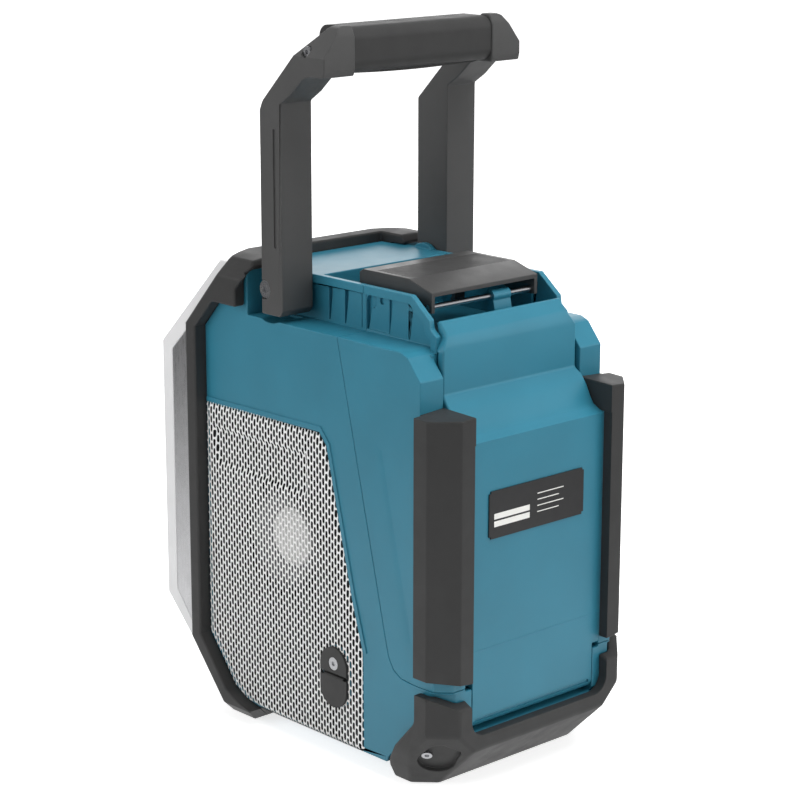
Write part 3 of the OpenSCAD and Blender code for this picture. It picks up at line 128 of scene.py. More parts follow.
def make_world():
    """White behind the object. Reflections see it bright near the horizon and dim overhead."""
    ambient, mirrored_low, mirrored_high = 0.30, 1.0, 0.3
    low_sky, high_sky = 0.3, 0.6  # as the upward part of a ray's direction
    world = bpy.data.worlds.new("studio")
    scene.world = world
    world.use_nodes = True
    tree = world.node_tree
    tree.nodes.clear()
    lit, seen = (tree.nodes.new("ShaderNodeBackground") for _ in range(2))
    lit.inputs["Color"].default_value = (1, 1, 1, 1)
    lit.inputs["Strength"].default_value = ambient
    seen.inputs["Color"].default_value = (1, 1, 1, 1)
    height = tree.nodes.new("ShaderNodeSeparateXYZ")
    tree.links.new(tree.nodes.new("ShaderNodeTexCoord").outputs["Generated"], height.inputs[0])
    mirrored = faded(tree, height.outputs["Z"], low_sky, high_sky, mirrored_low, mirrored_high)
    shown, strength = shown_strength(tree, mirrored)
    tree.links.new(strength, seen.inputs["Strength"])
    mix = tree.nodes.new("ShaderNodeMixShader")
    tree.links.new(shown, mix.inputs["Fac"])
    tree.links.new(lit.outputs[0], mix.inputs[1])
    tree.links.new(seen.outputs[0], mix.inputs[2])
    out = tree.nodes.new("ShaderNodeOutputWorld")
    tree.links.new(mix.outputs[0], out.inputs["Surface"])


def make_floor():
    """A white sheet that keeps the object's shadow, and that reflections see fade with distance."""
    half, sunk = 6.0, 0.2 * MM
    # Each as the distance where it starts and ends, and its strength there
    glow_fade = (0.4, 2.0, 0.72, 1.0)
    mirror_fade = (0.35, 1.05, 1.0, 0.08)
    mesh = bpy.data.meshes.new("floor")
    mesh.from_pydata([(-half, -half, 0), (half, -half, 0), (half, half, 0), (-half, half, 0)], [],
                     [(0, 1, 2, 3)])
    floor = bpy.data.objects.new("floor", mesh)
    floor.location.z = -sunk
    scene.collection.objects.link(floor)
    material = bpy.data.materials.new("floor")
    material.use_nodes = True
    tree = material.node_tree
    tree.nodes.clear()
    paint = tree.nodes.new("ShaderNodeBsdfDiffuse")
    paint.inputs["Color"].default_value = (0.8, 0.8, 0.8, 1)
    reach = tree.nodes.new("ShaderNodeVectorMath")
    reach.operation = "LENGTH"
    tree.links.new(tree.nodes.new("ShaderNodeTexCoord").outputs["Object"], reach.inputs[0])
    away = reach.outputs["Value"]
    # The sheet is whitest far from the object, where the lamps no longer reach
    path = tree.nodes.new("ShaderNodeLightPath")
    far = faded(tree, away, *glow_fade)
    glow = tree.nodes.new("ShaderNodeEmission")
    tree.links.new(joined(tree, "MULTIPLY", far, path.outputs["Is Camera Ray"]),
                   glow.inputs["Strength"])
    both = tree.nodes.new("ShaderNodeAddShader")
    tree.links.new(paint.outputs[0], both.inputs[0])
    tree.links.new(glow.outputs[0], both.inputs[1])
    mirrored = tree.nodes.new("ShaderNodeEmission")
    tree.links.new(faded(tree, away, *mirror_fade), mirrored.inputs["Strength"])
    mix = tree.nodes.new("ShaderNodeMixShader")
    tree.links.new(path.outputs["Is Glossy Ray"], mix.inputs["Fac"])
    tree.links.new(both.outputs[0], mix.inputs[1])
    tree.links.new(mirrored.outputs[0], mix.inputs[2])
    out = tree.nodes.new("ShaderNodeOutputMaterial")
    tree.links.new(mix.outputs[0], out.inputs["Surface"])
    mesh.materials.append(material)


# ---------------------------------------------------------------- materials

def linear(r, g, b):
    """A colour as a screen shows it, 0 to 255, in the renderer's own scale."""
    return tuple((v / 255 / 12.92) if v <= 10 else ((v / 255 + 0.055) / 1.055) ** 2.4
                 for v in (r, g, b))


class Shader:
    """A material under construction: one principled shader, and the nodes that feed it."""

    def __init__(self, name, colour, roughness, metallic=0.0, gloss=0.5):
        self.material = bpy.data.materials.new(name)
        self.material.use_nodes = True
        self.tree = self.material.node_tree
        self.tree.nodes.clear()
        self.surface = self.add("ShaderNodeBsdfPrincipled")
        self.surface.inputs["Base Color"].default_value = (*colour, 1)
        self.surface.inputs["Roughness"].default_value = roughness
        self.surface.inputs["Metallic"].default_value = metallic
        self.surface.inputs["Specular IOR Level"].default_value = gloss
        output = self.add("ShaderNodeOutputMaterial")
        self.link(self.surface.outputs[0], output.inputs["Surface"])
        self.place = self.add("ShaderNodeTexCoord").outputs["Object"]
        self.normal = None

    def add(self, kind):
        return self.tree.nodes.new(kind)

    def link(self, a, b):
        self.tree.links.new(a, b)

    def noise(self, size, detail, stretch=None):
        """Noise whose features are about size metres across, drawn out along one axis if asked."""
        texture = self.add("ShaderNodeTexNoise")
        texture.inputs["Scale"].default_value = 1 / size
        texture.inputs["Detail"].default_value = detail
        source = self.place
        if stretch:
            mapping = self.add("ShaderNodeMapping")
            mapping.inputs["Scale"].default_value = stretch
            self.link(self.place, mapping.inputs["Vector"])
            source = mapping.outputs[0]
        self.link(source, texture.inputs["Vector"])
        return texture.outputs["Fac"]

    def scaled(self, value, low, high):
        """Noise spread from low to high. Nearly all of it lies between 0.3 and 0.7."""
        return faded(self.tree, value, 0.3, 0.7, low, high)

    def vary_colour(self, value, colour_a, colour_b):
        mix = self.add("ShaderNodeMix")
        mix.data_type = "RGBA"
        mix.inputs["A"].default_value = (*colour_a, 1)
        mix.inputs["B"].default_value = (*colour_b, 1)
        self.link(value, mix.inputs["Factor"])
        self.link(mix.outputs["Result"], self.surface.inputs["Base Color"])

    def vary_roughness(self, value):
        self.link(value, self.surface.inputs["Roughness"])

    def bump(self, height, depth, strength=1.0):
        node = self.add("ShaderNodeBump")
        node.inputs["Strength"].default_value = strength
        node.inputs["Distance"].default_value = depth
        self.link(height, node.inputs["Height"])
        if self.normal:
            self.link(self.normal, node.inputs["Normal"])
        self.normal = node.outputs[0]
        self.link(self.normal, self.surface.inputs["Normal"])


def tint(colour, factor):
    return tuple(min(1.0, v * factor) for v in colour)


def moulded(name, colour, roughness, grain=0.45 * MM, depth=0.03 * MM, spread=0.05,
            unevenness=0.06, gloss=0.5):
    """Moulded plastic or rubber: an etched grain, faint cloudiness and uneven gloss."""
    cloud_size, gloss_size, sag_size, sag_depth = 38 * MM, 11 * MM, 60 * MM, 0.25 * MM
    shader = Shader(name, colour, roughness, gloss=gloss)
    cloud = shader.scaled(shader.noise(cloud_size, 4.0), 0.0, 1.0)
    shader.vary_colour(cloud, tint(colour, 1 - spread), tint(colour, 1 + spread))
    shader.vary_roughness(shader.scaled(shader.noise(gloss_size, 5.0), roughness - unevenness,
                                        roughness + unevenness))
    shader.bump(shader.noise(grain, 2.0), depth, 0.7)
    shader.bump(shader.noise(sag_size, 1.0), sag_depth, 0.1)
    return shader.material


def metal(name, colour, roughness, stretch=(1, 1, 1)):
    """Metal with fine lines, drawn out along one axis if asked, and a faint stain."""
    line_size, line_depth, stain_size = 0.3 * MM, 0.01 * MM, 9 * MM
    shader = Shader(name, colour, roughness, metallic=1.0)
    lines = shader.noise(line_size, 3.0, stretch)
    shader.vary_roughness(shader.scaled(lines, roughness * 0.75, roughness * 1.35))
    shader.vary_colour(shader.scaled(shader.noise(stain_size, 4.0), 0, 1), tint(colour, 0.93),
                       tint(colour, 1.04))
    shader.bump(lines, line_depth, 0.5)
    return shader.material


TEAL = linear(45, 117, 139)
RUBBER = linear(51, 51, 51)
ARM_GREY = linear(70, 70, 70)
SILVER = linear(222, 222, 223)
BLACK = linear(38, 38, 39)


def make_materials():
    return {
        "housing": moulded("teal_plastic", TEAL, 0.35, unevenness=0.02),
        "rubber": moulded("bumper_rubber", RUBBER, 0.55, grain=0.6 * MM, depth=0.05 * MM,
                          gloss=0.4),
        "arm": moulded("arm_plastic", ARM_GREY, 0.5, grain=0.5 * MM, depth=0.04 * MM, gloss=0.4),
        "lever": moulded("lever_plastic", linear(62, 62, 62), 0.4, grain=0.5 * MM,
                         depth=0.04 * MM, gloss=0.7),
        "satin": metal("satin_band", linear(205, 205, 207), 0.3, stretch=(1, 1, 0.02)),
        "bezel": moulded("silver_paint", SILVER, 0.34, grain=0.25 * MM, depth=0.008 * MM,
                         spread=0.02),
        "black_plastic": moulded("black_plastic", BLACK, 0.48),
        "mesh": mesh_paint(),
        "cone": moulded("speaker_paper", linear(120, 120, 122), 0.7, grain=1.1 * MM,
                        depth=0.1 * MM),
        "dust_cap": moulded("dust_cap", linear(238, 238, 236), 0.35, grain=0.8 * MM, spread=0.02),
        "steel": metal("zinc_steel", linear(188, 189, 192), 0.28),
        "board": moulded("circuit_board", linear(28, 92, 58), 0.35),
        "ferrite": moulded("ferrite", linear(70, 66, 62), 0.7),
        "window": window_glass(),
        "display": moulded("display", linear(122, 134, 112), 0.25, depth=0.004 * MM),
        "power": moulded("power_red", linear(150, 44, 38), 0.42),
        "print": moulded("white_print", linear(226, 226, 222), 0.5, depth=0.006 * MM,
                         spread=0.02),
    }


def mesh_paint():
    """Pale lacquer over pressed sheet, faintly uneven in tone."""
    cloud_size, grain, depth = 6 * MM, 0.35 * MM, 0.01 * MM
    shader = Shader("mesh_lacquer", SILVER, 0.36)
    cloud = shader.scaled(shader.noise(cloud_size, 4.0), 0, 1)
    shader.vary_colour(cloud, linear(240, 240, 239), linear(250, 250, 249))
    shader.bump(shader.noise(grain, 2.0), depth, 0.5)
    return shader.material


def cloth(name, centre):
    """Fine black speaker cloth with a plain weave, which lets the woofer's dust cap show through."""
    sheer, sheer_radius, dense_radius = 0.05, 24 * MM, 38 * MM
    weave_scale, weave_depth = 900, 0.15 * MM
    shader = Shader(name, linear(24, 24, 25), 0.9)
    weave = []
    for axis in ("Y", "Z"):
        wave = shader.add("ShaderNodeTexWave")
        wave.bands_direction = axis
        wave.inputs["Scale"].default_value = weave_scale
        shader.link(shader.place, wave.inputs["Vector"])
        weave.append(wave.outputs["Fac"])
    threads = joined(shader.tree, "MULTIPLY", weave[0], weave[1])
    shader.vary_colour(threads, linear(18, 18, 19), linear(44, 44, 45))
    shader.bump(threads, weave_depth)
    offset = shader.add("ShaderNodeVectorMath")
    offset.operation = "SUBTRACT"
    shader.link(shader.place, offset.inputs[0])
    offset.inputs[1].default_value = centre
    away = shader.add("ShaderNodeVectorMath")
    away.operation = "LENGTH"
    shader.link(offset.outputs[0], away.inputs[0])
    cover = faded(shader.tree, away.outputs["Value"], sheer_radius, dense_radius, sheer, 1.0)
    shader.link(cover, shader.surface.inputs["Alpha"])
    return shader.material


def window_glass():
    """Clear plastic with a faintly uneven surface."""
    wipe_size, wave_size, wave_depth = 14 * MM, 30 * MM, 0.02 * MM
    shader = Shader("display_window", linear(150, 160, 156), 0.06)
    shader.surface.inputs["Transmission Weight"].default_value = 0.85
    shader.surface.inputs["IOR"].default_value = 1.49
    shader.vary_roughness(shader.scaled(shader.noise(wipe_size, 5.0), 0.03, 0.12))
    shader.bump(shader.noise(wave_size, 1.0), wave_depth, 0.2)
    return shader.material


# ---------------------------------------------------------------- pieces made from the frame

BODY_OF = {node: body for body, nodes in frame["record"]["behaviour"]["bodies"].items()
           for node in nodes}


def paint_node(node, material):
    mesh = frame["nodes"][node].data
    mesh.materials.clear()
    mesh.materials.append(material)


def add_object(name, mesh, material, body):
    mesh.materials.clear()
    mesh.materials.append(material)
    piece = bpy.data.objects.new(name, mesh)
    scene.collection.objects.link(piece)
    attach(piece, body)
    return piece


# The angles above which an edge is rounded, two faces aren't joined, and an edge counts as a crease
SHARP = math.radians(28)
FLAT = math.radians(0.4)
CREASED = math.radians(12)
WELD = 0.01 * MM


def merge_flat_faces(form):
    """Joins flat neighbours into larger faces, and never round a hole."""
    without_normal = math.pi
    form.normal_update()
    for edge in sorted(form.edges, key=lambda e: -e.calc_length()):
        if not edge.is_valid or len(edge.link_faces) != 2:
            continue
        one, other = edge.link_faces
        if one is other or one.normal.angle(other.normal, without_normal) > FLAT:
            continue
        shared = {e for e in one.edges if e in set(other.edges)}
        touching = {v for v in one.verts if v in set(other.verts)}
        if len(touching) == len(shared) + 1:
            bmesh.utils.face_join([one, other])


def rounding_of(edge, radius):
    """The share of the radius that an edge's neighbours leave room for."""
    usable = 0.42  # of the shortest edge that meets this one at a crease
    room = 3 * radius
    for vert in edge.verts:
        for other in vert.link_edges:
            if other is edge or len(other.link_faces) != 2:
                continue
            if other.calc_face_angle(0) > CREASED:
                room = min(room, other.calc_length())
    return min(1.0, usable * room / radius)


def form_of(node):
    """A copy of a node's own mesh, to be worked on."""
    form = bmesh.new()
    form.from_mesh(frame["nodes"][node].data)
    return form


def softened(form, name, material, body, radius, segments=3):
    """A piece from a form with its edges rounded, as moulding leaves them."""
    bmesh.ops.remove_doubles(form, verts=form.verts, dist=0.002 * MM)
    merge_flat_faces(form)
    weight = form.edges.layers.float.new("bevel_weight_edge")
    for edge in form.edges:
        if len(edge.link_faces) == 2 and edge.calc_face_angle(0) > SHARP:
            edge[weight] = rounding_of(edge, radius)
    for face in form.faces:
        face.smooth = True
    mesh = bpy.data.meshes.new(name)
    form.to_mesh(mesh)
    form.free()
    piece = add_object(name, mesh, material, body)
    rounding = piece.modifiers.new("rounded edges", "BEVEL")
    rounding.width = radius
    rounding.segments = segments
    rounding.limit_method = "WEIGHT"
    rounding.use_clamp_overlap = False
    rounding.miter_outer = "MITER_ARC"
    shading = piece.modifiers.new("flat faces stay flat", "WEIGHTED_NORMAL")
    shading.weight = 100
    return piece


def prism(outline, low, high):
    """A closed upright form over an anticlockwise plan; low and high give each corner's height."""
    form = bmesh.new()
    base = [form.verts.new((x * MM, y * MM, low(x, y) * MM)) for x, y in outline]
    top = [form.verts.new((x * MM, y * MM, high(x, y) * MM)) for x, y in outline]
    form.faces.new(base[::-1])
    form.faces.new(top)
    for k in range(len(outline)):
        form.faces.new((base[k - 1], base[k], top[k], top[k - 1]))
    bmesh.ops.recalc_face_normals(form, faces=form.faces)
    return form


def carved(form, tools):
    """The form less each of the tools, all of them closed."""
    def holder(shape):
        mesh = bpy.data.meshes.new("rough")
        shape.to_mesh(mesh)
        shape.free()
        rough = bpy.data.objects.new("rough", mesh)
        scene.collection.objects.link(rough)
        return rough

    block = holder(form)
    cutters = [holder(tool) for tool in tools]
    for cutter in cutters:
        cut = block.modifiers.new("cut", "BOOLEAN")
        cut.operation = "DIFFERENCE"
        cut.solver = "EXACT"
        cut.object = cutter
    result = bmesh.new()
    result.from_object(block, bpy.context.evaluated_depsgraph_get())
    for rough in [block] + cutters:
        mesh = rough.data
        bpy.data.objects.remove(rough)
        bpy.data.meshes.remove(mesh)
    return result


# ---------------------------------------------------------------- corner guards and cover

GUARD_FOOT = 69.4
GUARD_TOP = 225.2
SHOULDER_TOP = 223.15
COVER_EDGE_TOP = 208
BELOW_ALL = 60


def make_guards(material):
    """Rubber round each rear corner, with a sloping cap over the housing's shoulder.

    All the numbers are mm, on the right side.
    """
    outer, rear, cut = 79.2, 134.0, 13.8
    inner, column = 54.76, 108.15
    case_side, case_rear, case_cut = 72.95, 127.65, 8.0
    plan = [(inner, column), (case_side, column), (case_side, column + 1.1), (outer, column + 1.1),
            (outer, rear - cut), (outer - cut, rear), (inner, rear)]
    pocket = [(inner + 0.24, 90), (case_side, 90), (case_side, case_rear - case_cut),
              (case_side - case_cut, case_rear), (inner + 0.24, case_rear)]
    beside_cover = [(inner - 5, 90), (inner + 0.54, 90), (inner + 0.54, 140), (inner - 5, 140)]

    def foot(x, y):
        return GUARD_FOOT + 0.12 * (x - inner)

    def cap(x, y):
        return GUARD_TOP - 0.06 * (x - inner) - 0.03 * (y - column)

    for side, sign in (("right", 1), ("left", -1)):
        node = f"corner_guard_{side}"
        form = carved(prism(plan, foot, cap),
                      [prism(pocket, lambda x, y: BELOW_ALL, lambda x, y: SHOULDER_TOP),
                       prism(beside_cover, lambda x, y: BELOW_ALL, lambda x, y: COVER_EDGE_TOP)])
        if sign < 0:
            bmesh.ops.scale(form, vec=(-1, 1, 1), verts=form.verts)
            bmesh.ops.reverse_faces(form, faces=form.faces)
        piece = softened(form, f"{node}_skin", material, BODY_OF[node], 0.7 * MM)
        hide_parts(node)


def sloped_arm(node):
    """A handle arm whose outer chamfer runs out in a slope above its bend, and not in a ledge."""
    form = form_of(node)
    outer_face = max(abs(v.co.x) for v in form.verts)
    ledge_y, ledge_z, run_out = -25 * MM, 379 * MM, 6.6 * MM
    for vert in form.verts:
        x, y, z = vert.co
        if abs(x) > outer_face - 0.1 * MM and y < ledge_y and z > ledge_z:
            vert.co += Vector((0, run_out, run_out))
    return form


def widened_cover(node):
    """The cover with its neck drawn out to the columns beside it, clear of the folded handle."""
    form = form_of(node)
    half = max(v.co.x for v in form.verts)
    between_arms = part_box("handle_arm_right")[0].x - 0.35 * MM
    arms_reach = 229 * MM
    neck_foot, neck_top, neck_front = 206.5 * MM, 257 * MM, 101.5 * MM
    neck = max(v.co.x for v in form.verts if v.co.z > neck_foot + 8.5 * MM)
    for vert in form.verts:
        x, y, z = vert.co
        beside = abs(abs(x) - neck) < 1.5 * MM
        if beside and y > neck_front and neck_foot < z < neck_top:
            vert.co.x = math.copysign(half if z < arms_reach else between_arms, x)
    bmesh.ops.remove_doubles(form, verts=form.verts, dist=0.02 * MM)
    bmesh.ops.dissolve_degenerate(form, edges=form.edges, dist=0.02 * MM)
    return form


def inset(outline, distance):
    """An anticlockwise convex outline with each side moved in by a distance."""
    moved = []
    for before, point, after in zip(outline[-1:] + outline[:-1], outline,
                                    outline[1:] + outline[:1]):
        one, two = (Vector((p.y, -p.x)).normalized() for p in (before - point, point - after))
        moved.append(point + (one + two) * (distance / (1 + one.dot(two))))
    return moved


def convex(points):
    """The outermost of some flat points, anticlockwise."""
    points = sorted(set(points))

    def half(sequence):
        chain = []
        for p in sequence:
            while len(chain) > 1 and ((chain[-1][0] - chain[-2][0]) * (p[1] - chain[-2][1])
                                      - (chain[-1][1] - chain[-2][1]) * (p[0] - chain[-2][0])) <= 0:
                chain.pop()
            chain.append(p)
        return chain[:-1]

    return [Vector(p) for p in half(points) + half(points[::-1])]


def softer_recess(node):
    """The rear housing, with the walls of its side panels laid back to soft slopes."""
    form = form_of(node)
    panel_floor, slope = 71.6 * MM, 2.8 * MM
    rim = [v for v in form.verts if abs(abs(v.co.x) - panel_floor) < 0.05 * MM]
    outline = convex([(round(v.co.y, 5), round(v.co.z, 5)) for v in rim])
    laid = inset(outline, slope)
    for vert in rim:
        flat = Vector((vert.co.y, vert.co.z))
        nearest = min(range(len(outline)), key=lambda k: (outline[k] - flat).length)
        vert.co.y, vert.co.z = laid[nearest]
    return form


# ---------------------------------------------------------------- side grilles

SIDE_FACE = 72.8 * MM
MESH_TOP = 1.25 * MM
CURL_TOP = 14.5 * MM
CURL_RADIUS = 4.2 * MM
# Side view, [y, z], of the bare place where the mesh is pressed in
PLACE_OUTLINE = [(-71.1, 158.8), (11.4, 155.4), (14.5, 162.1), (12.5, 183.8), (-76.9, 183.3)]


def slot_cell(width, height, slot_w, slot_h):
    """One cell of the pressed mesh: its outer ring, its slot's ring, and the faces between."""
    x, y = width / 2, height / 2
    outer = [(x, -y), (x, 0), (x, y), (0, y), (-x, y), (-x, 0), (-x, -y), (0, -y)]
    a, b = slot_w / 2, slot_h / 2
    c = a * 0.29  # what a rounded corner leaves of the slot's half width
    inner = [(a, a - b), (a, 0), (a, b - a), (a - c, b - c), (0, b), (c - a, b - c), (-a, b - a),
             (-a, 0), (-a, a - b), (c - a, c - b), (0, -b), (a - c, c - b)]
    faces = [("o0", "o1", "i1", "i0"), ("o1", "o2", "i2", "i1"), ("o2", "o3", "i4", "i3", "i2"),
             ("o3", "o4", "i6", "i5", "i4"), ("o4", "o5", "i7", "i6"), ("o5", "o6", "i8", "i7"),
             ("o6", "o7", "i10", "i9", "i8"), ("o7", "o0", "i0", "i11", "i10")]
    return outer, inner, faces


def sides_of(outline):
    return list(zip(outline, outline[1:] + outline[:1]))


def distance_inside(point, sides):
    """How far a point lies inside the sides of an anticlockwise convex outline."""
    return min((b - a).normalized().cross(point - a) for a, b in sides)


def eased(share):
    """From 0 to 1 with a soft start and end."""
    share = max(0.0, min(1.0, share))
    return share * share * (3 - 2 * share)


def flat_mesh(outline, sides):
    """Mesh in staggered upright slots, still flat, inside the sides and with its foot unrolled."""
    column, row = 2.6 * MM, 5.75 * MM
    slot_width, slot_height = 1.92 * MM, 4.7 * MM
    outer, inner, faces = slot_cell(column, row, slot_width, slot_height)
    cut_low = CURL_TOP - CURL_RADIUS * math.pi / 2
    low = Vector((min(p.x for p in outline), cut_low))
    high = Vector((max(p.x for p in outline), max(p.y for p in outline)))
    form = bmesh.new()
    edge_of_slot = form.verts.layers.int.new("edge_of_slot")
    for i in range(int((high.x - low.x) / column) + 2):
        for j in range(int((high.y - low.y) / row) + 3):
            centre = Vector((low.x + i * column, low.y + (j - (i % 2) / 2) * row))
            if distance_inside(centre, sides) < -row:
                continue
            ring = {f"o{k}": form.verts.new((0, centre.x + p[0], centre.y + p[1]))
                    for k, p in enumerate(outer)}
            for k, p in enumerate(inner):
                ring[f"i{k}"] = form.verts.new((0, centre.x + p[0], centre.y + p[1]))
                ring[f"i{k}"][edge_of_slot] = 1
            for face in faces:
                form.faces.new([ring[k] for k in face])
    bmesh.ops.remove_doubles(form, verts=form.verts, dist=WELD)
    cuts = [(a, Vector((0, (b - a).y, -(b - a).x))) for a, b in sides]
    cuts.append((low, Vector((0, 0, -1))))
    for point, outward in cuts:
        bmesh.ops.bisect_plane(form, geom=form.verts[:] + form.edges[:] + form.faces[:],
                               plane_co=(0, point.x, point.y), plane_no=outward, clear_outer=True)
    return form, edge_of_slot


def open_slot(form, middle_low, middle_high, radius):
    """Clears a long upright hole in flat mesh, given by the middles of its two round ends."""
    inside = []
    for face in form.faces:
        centre = face.calc_center_median()
        flat = Vector((centre.y, centre.z))
        nearest = Vector((middle_low.x, min(max(flat.y, middle_low.y), middle_high.y)))
        if (flat - nearest).length < radius:
            inside.append(face)
    bmesh.ops.delete(form, geom=inside, context="FACES")


def mesh_sheet(name, outline, material, body, sign, hole):
    """Pressed mesh, domed, with its bare place pressed in and its foot curled under the case."""
    sides = [(a, b) for a, b in sides_of(outline) if max(a.y, b.y) > CURL_TOP - 3 * MM]
    place = sides_of([Vector((y * MM, z * MM)) for y, z in PLACE_OUTLINE])
    form, edge_of_slot = flat_mesh(outline, sides)
    if hole:
        open_slot(form, *hole)
    # The border rolls in over roll by drop, the bare place goes in over slope by pressed, and
    # each slot's edge by dimple
    roll, drop, slope, pressed, dimple = 6.5 * MM, 1.0 * MM, 3.5 * MM, 1.25 * MM, 0.16 * MM
    for vert in form.verts:
        flat = Vector((vert.co.y, vert.co.z))
        bend = max(0.0, 1 - distance_inside(flat, sides) / roll)
        out = SIDE_FACE + MESH_TOP - drop * bend * bend - dimple * vert[edge_of_slot]
        out -= pressed * eased(distance_inside(flat, place) / slope)
        if vert.co.z < CURL_TOP:
            turn = (CURL_TOP - vert.co.z) / CURL_RADIUS
            out -= CURL_RADIUS * (1 - math.cos(turn))
            vert.co.z = CURL_TOP - CURL_RADIUS * math.sin(turn)
        vert.co.x = sign * out
    if sign < 0:
        bmesh.ops.reverse_faces(form, faces=form.faces)
    for face in form.faces:
        face.smooth = True
    mesh = bpy.data.meshes.new(name)
    form.to_mesh(mesh)
    form.free()
    piece = add_object(name, mesh, material, body)
    thick = piece.modifiers.new("sheet thickness", "SOLIDIFY")
    thick.thickness = 0.3 * MM
    thick.offset = -1
    return piece


def grille_plan(node):
    """The side view of a grille, let out over the case's edge where a bumper flanks it."""
    let_out_by, bumper_reach, foot_reach = 1.4 * MM, -20 * MM, 14 * MM
    outline = convex([(round(v.co.y, 5), round(v.co.z, 5))
                      for v in frame["nodes"][node].data.vertices])
    let_out = inset(outline, -let_out_by)
    return [wide if wide.x < bumper_reach or wide.y < foot_reach else plain
            for plain, wide in zip(outline, let_out)]


def make_grilles(materials):
    for side, sign in (("right", 1), ("left", -1)):
        node = f"side_grille_{side}"
        hole = None
        if side == "right":
            low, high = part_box("dc_cover_base")
            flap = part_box("dc_port_cover")[0]
            half = (high.y - low.y) / 2
            middle = (high.y + low.y) / 2
            hole = (Vector((middle, flap.z + half)), Vector((middle, high.z - half)),
                    half - 0.2 * MM)
        piece = mesh_sheet(f"grille_mesh_{side}", grille_plan(node), materials["mesh"],
                           BODY_OF[node], sign, hole)
        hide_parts(node)


def make_woofers(materials):
    """A bright dust cap on each cone, and cloth that is thinner in front of it."""
    for side, sign in (("right", 1), ("left", -1)):
        low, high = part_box(f"woofer_cone_{side}")
        axis_y, axis_z = (low.y + high.y) / 2, (low.z + high.z) / 2
        face = max(abs(low.x), abs(high.x))
        cap_radius, crown, seat = 18 * MM, face - 0.3 * MM, face - 5.1 * MM
        rings, spokes = 10, 48
        form = bmesh.new()
        rows = []
        for i in range(rings + 1):
            angle = math.pi / 2 * i / rings
            radius = cap_radius * math.sin(angle)
            out = seat + (crown - seat) * math.cos(angle)
            rows.append([form.verts.new((sign * out, axis_y + radius * math.cos(t),
                                         axis_z + radius * math.sin(t)))
                         for t in (2 * math.pi * k / spokes for k in range(spokes))])
        bmesh.ops.remove_doubles(form, verts=rows[0], dist=WELD)
        tip = next(v for v in form.verts if abs(abs(v.co.x) - crown) < 0.001 * MM)
        rows[0] = [tip] * spokes
        for a, b in zip(rows, rows[1:]):
            for k in range(spokes):
                corners = [a[k - 1], a[k], b[k], b[k - 1]]
                form.faces.new(list(dict.fromkeys(corners)))
        bmesh.ops.recalc_face_normals(form, faces=form.faces)
        if sum(f.normal.x * f.calc_area() for f in form.faces) * sign < 0:
            bmesh.ops.reverse_faces(form, faces=form.faces)
        for f in form.faces:
            f.smooth = True
        mesh = bpy.data.meshes.new(f"dust_cap_{side}")
        form.to_mesh(mesh)
        form.free()
        piece = add_object(f"dust_cap_{side}", mesh, materials["dust_cap"],
                           BODY_OF[f"woofer_cone_{side}"])
        shell = piece.modifiers.new("shell", "SOLIDIFY")
        shell.thickness = 0.5 * MM
        shell.offset = -1
        paint_node(f"speaker_cloth_{side}",
                   cloth(f"speaker_cloth_{side}", (sign * face, axis_y, axis_z)))


# ---------------------------------------------------------------- small trim

def thin_plate(name, corners, out, thickness, material, body):
    """A thin flat piece over four corners, raised by a thickness in the direction out."""
    form = bmesh.new()
    lift = Vector(out) * thickness
    base = [form.verts.new(Vector(c)) for c in corners]
    top = [form.verts.new(Vector(c) + lift) for c in corners]
    form.faces.new(base)
    form.faces.new(top[::-1])
    for k in range(4):
        form.faces.new((base[k], base[k - 1], top[k - 1], top[k]))
    bmesh.ops.recalc_face_normals(form, faces=form.faces)
    return softened(form, name, material, body, thickness * 0.4, segments=2)


def make_label(materials):
    """Blank white fields and plain rules on the bare plate, as raised print."""
    low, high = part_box("label_plate")
    # Each as shares of the plate: left, right, bottom, top, seen from behind
    fields = {"field_upper": (0.05, 0.42, 0.40, 0.52), "field_lower": (0.05, 0.42, 0.24, 0.36)}
    for k in range(4):
        fields[f"rule_{k + 1}"] = (0.50, 0.78 - 0.05 * (k % 2), 0.70 - 0.13 * k, 0.72 - 0.13 * k)
    for name, (x0, x1, z0, z1) in fields.items():
        corners = [(high.x - (high.x - low.x) * f, high.y, low.z + (high.z - low.z) * g)
                   for f, g in ((x0, z0), (x1, z0), (x1, z1), (x0, z1))]
        thin_plate(f"label_{name}", corners, (0, 1, 0), 0.06 * MM, materials["print"],
                   BODY_OF["label_plate"])


def make_cover_rule(materials):
    """The fine raised line across the foot of the battery cover."""
    low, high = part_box("battery_cover")
    z, half, inset_x = 85 * MM, 0.4 * MM, 1.0 * MM
    corners = [(high.x - inset_x, high.y, z - half), (low.x + inset_x, high.y, z - half),
               (low.x + inset_x, high.y, z + half), (high.x - inset_x, high.y, z + half)]
    thin_plate("cover_rule", corners, (0, 1, 0), 0.14 * MM, materials["housing"],
               BODY_OF["battery_cover"])


def make_inlet_backing(materials):
    """Rubber web behind the line between the inlet cover's base and its flap."""
    base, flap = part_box("dc_cover_base"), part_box("dc_port_cover")
    side_gap, reach = 0.2 * MM, 1.2 * MM
    y0, y1 = base[0].y + side_gap, base[1].y - side_gap
    z0, z1 = flap[1].z - reach, base[0].z + reach
    x = base[0].x + 0.02 * MM
    corners = [(x, y0, z0), (x, y1, z0), (x, y1, z1), (x, y0, z1)]
    thin_plate("inlet_cover_web", corners, (1, 0, 0), 0.2 * MM, materials["rubber"],
               BODY_OF["dc_cover_base"])


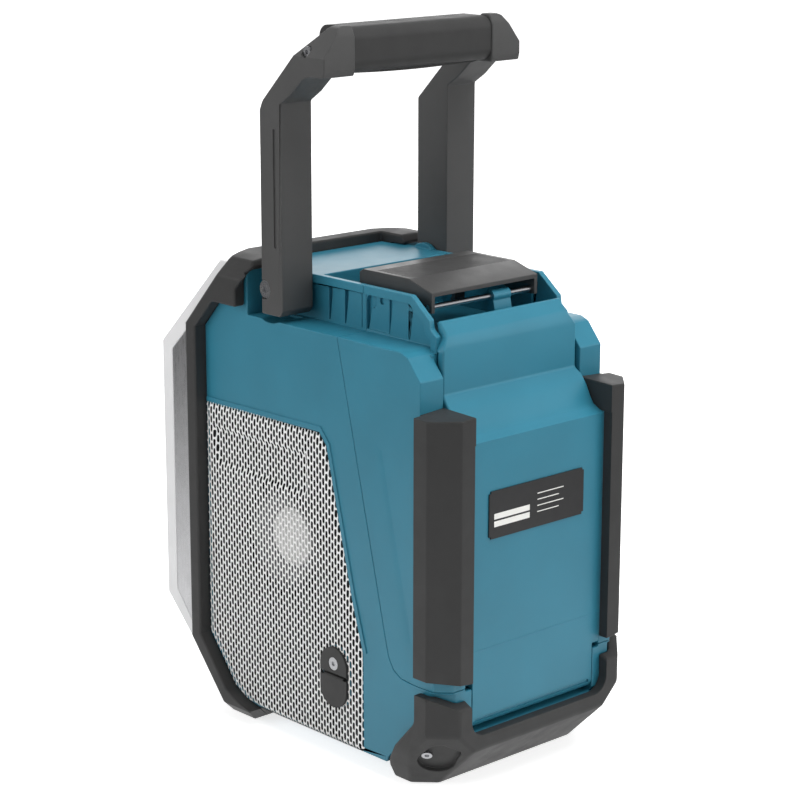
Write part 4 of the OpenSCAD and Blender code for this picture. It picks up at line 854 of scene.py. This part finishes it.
def make_numbers(materials):
    """Plain numbers 1 to 4 on the preset buttons."""
    for number in range(1, 5):
        node = f"preset_button_{number}"
        low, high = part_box(node)
        curve = bpy.data.curves.new(f"preset_number_{number}", "FONT")
        curve.body = str(number)
        curve.size = 6.5 * MM
        curve.extrude = 0.04 * MM
        curve.align_x = "CENTER"
        curve.align_y = "CENTER"
        words = bpy.data.objects.new("rough", curve)
        scene.collection.objects.link(words)
        mesh = bpy.data.meshes.new_from_object(
            words.evaluated_get(bpy.context.evaluated_depsgraph_get()))
        bpy.data.objects.remove(words)
        middle = Vector(((low.x + high.x) / 2, low.y, (low.z + high.z) / 2))
        mesh.transform(Matrix.Translation(middle) @ Matrix.Rotation(math.pi / 2, 4, "X"))
        mesh.name = f"preset_number_{number}"
        add_object(mesh.name, mesh, materials["print"], BODY_OF[node])


RESHAPED = {"battery_cover": widened_cover, "rear_housing": softer_recess,
            "handle_arm_right": sloped_arm, "handle_arm_left": sloped_arm}

SOFTENED = {
    # node: (material, record slot, edge radius in mm)
    "front_housing": ("housing", "housing", 0.6),
    "rear_housing": ("housing", "housing", 0.6),
    "battery_cover": ("housing", "housing", 1.3),
    "front_bumper": ("rubber", "rubber", 1.4),
    "lower_bumper": ("rubber", "rubber", 1.8),
    "front_bezel": ("bezel", "bezel", 0.8),
    "handle_arm_right": ("arm", "black_plastic", 1.0),
    "handle_arm_left": ("arm", "black_plastic", 1.0),
    "latch_lever": ("lever", "black_plastic", 0.35),
}

PAINTED = {
    "satin": "front_frame",
    "black_plastic": "control_panel tuning_knob aux_jack dc_jack battery_bay "
                     "battery_terminal tweeter_right tweeter_left label_plate",
    "rubber": "handle_grip dc_cover_base dc_port_cover cover_seal source_button menu_button "
              "preset_button_1 preset_button_2 preset_button_3 preset_button_4 "
              "woofer_surround_right woofer_surround_left",
    "mesh": "tweeter_grille_right tweeter_grille_left",
    "cone": "woofer_cone_right woofer_cone_left",
    "steel": "woofer_frame_right woofer_frame_left woofer_magnet_right woofer_magnet_left "
             "knob_encoder knob_shaft dc_cover_screw cover_hinge_pin latch_rod handle_core "
             "handle_screws handle_pivot_bolts bumper_screws",
    "board": "main_board amp_board",
    "ferrite": "ferrite_antenna",
    "window": "display_window",
    "display": "lcd_module",
    "power": "power_button",
}


def main():
    scene.view_settings.view_transform = "Standard"
    make_camera()
    make_world()
    make_floor()
    # The side lamps stand square to the camera's direction, so that edges towards it stay darker
    softbox("overhead", (-0.3, 0.4, 1.9), (0, 0, 0.2), 1.6, 38, reflected=False)
    softbox("left", (1.9, -0.7, 0.8), (0, 0, 0.15), 1.4, 21, reflected=False)
    softbox("right", (-1.2, 1.8, 0.8), (0, 0, 0.15), 1.4, 20, reflected=False)
    softbox("behind", (-1.6, -1.7, 0.8), (0, 0, 0.28), 1.5, 7)
    materials = make_materials()
    for slot, nodes in PAINTED.items():
        for node in nodes.split():
            paint_node(node, materials[slot])
    for node, (material, slot, radius) in SOFTENED.items():
        form = RESHAPED.get(node, form_of)(node)
        piece = softened(form, f"{node}_skin", materials[material], BODY_OF[node], radius * MM)
        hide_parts(node)
    make_guards(materials["rubber"])
    make_grilles(materials)
    make_woofers(materials)
    make_label(materials)
    make_cover_rule(materials)
    make_inlet_backing(materials)
    make_numbers(materials)


main()
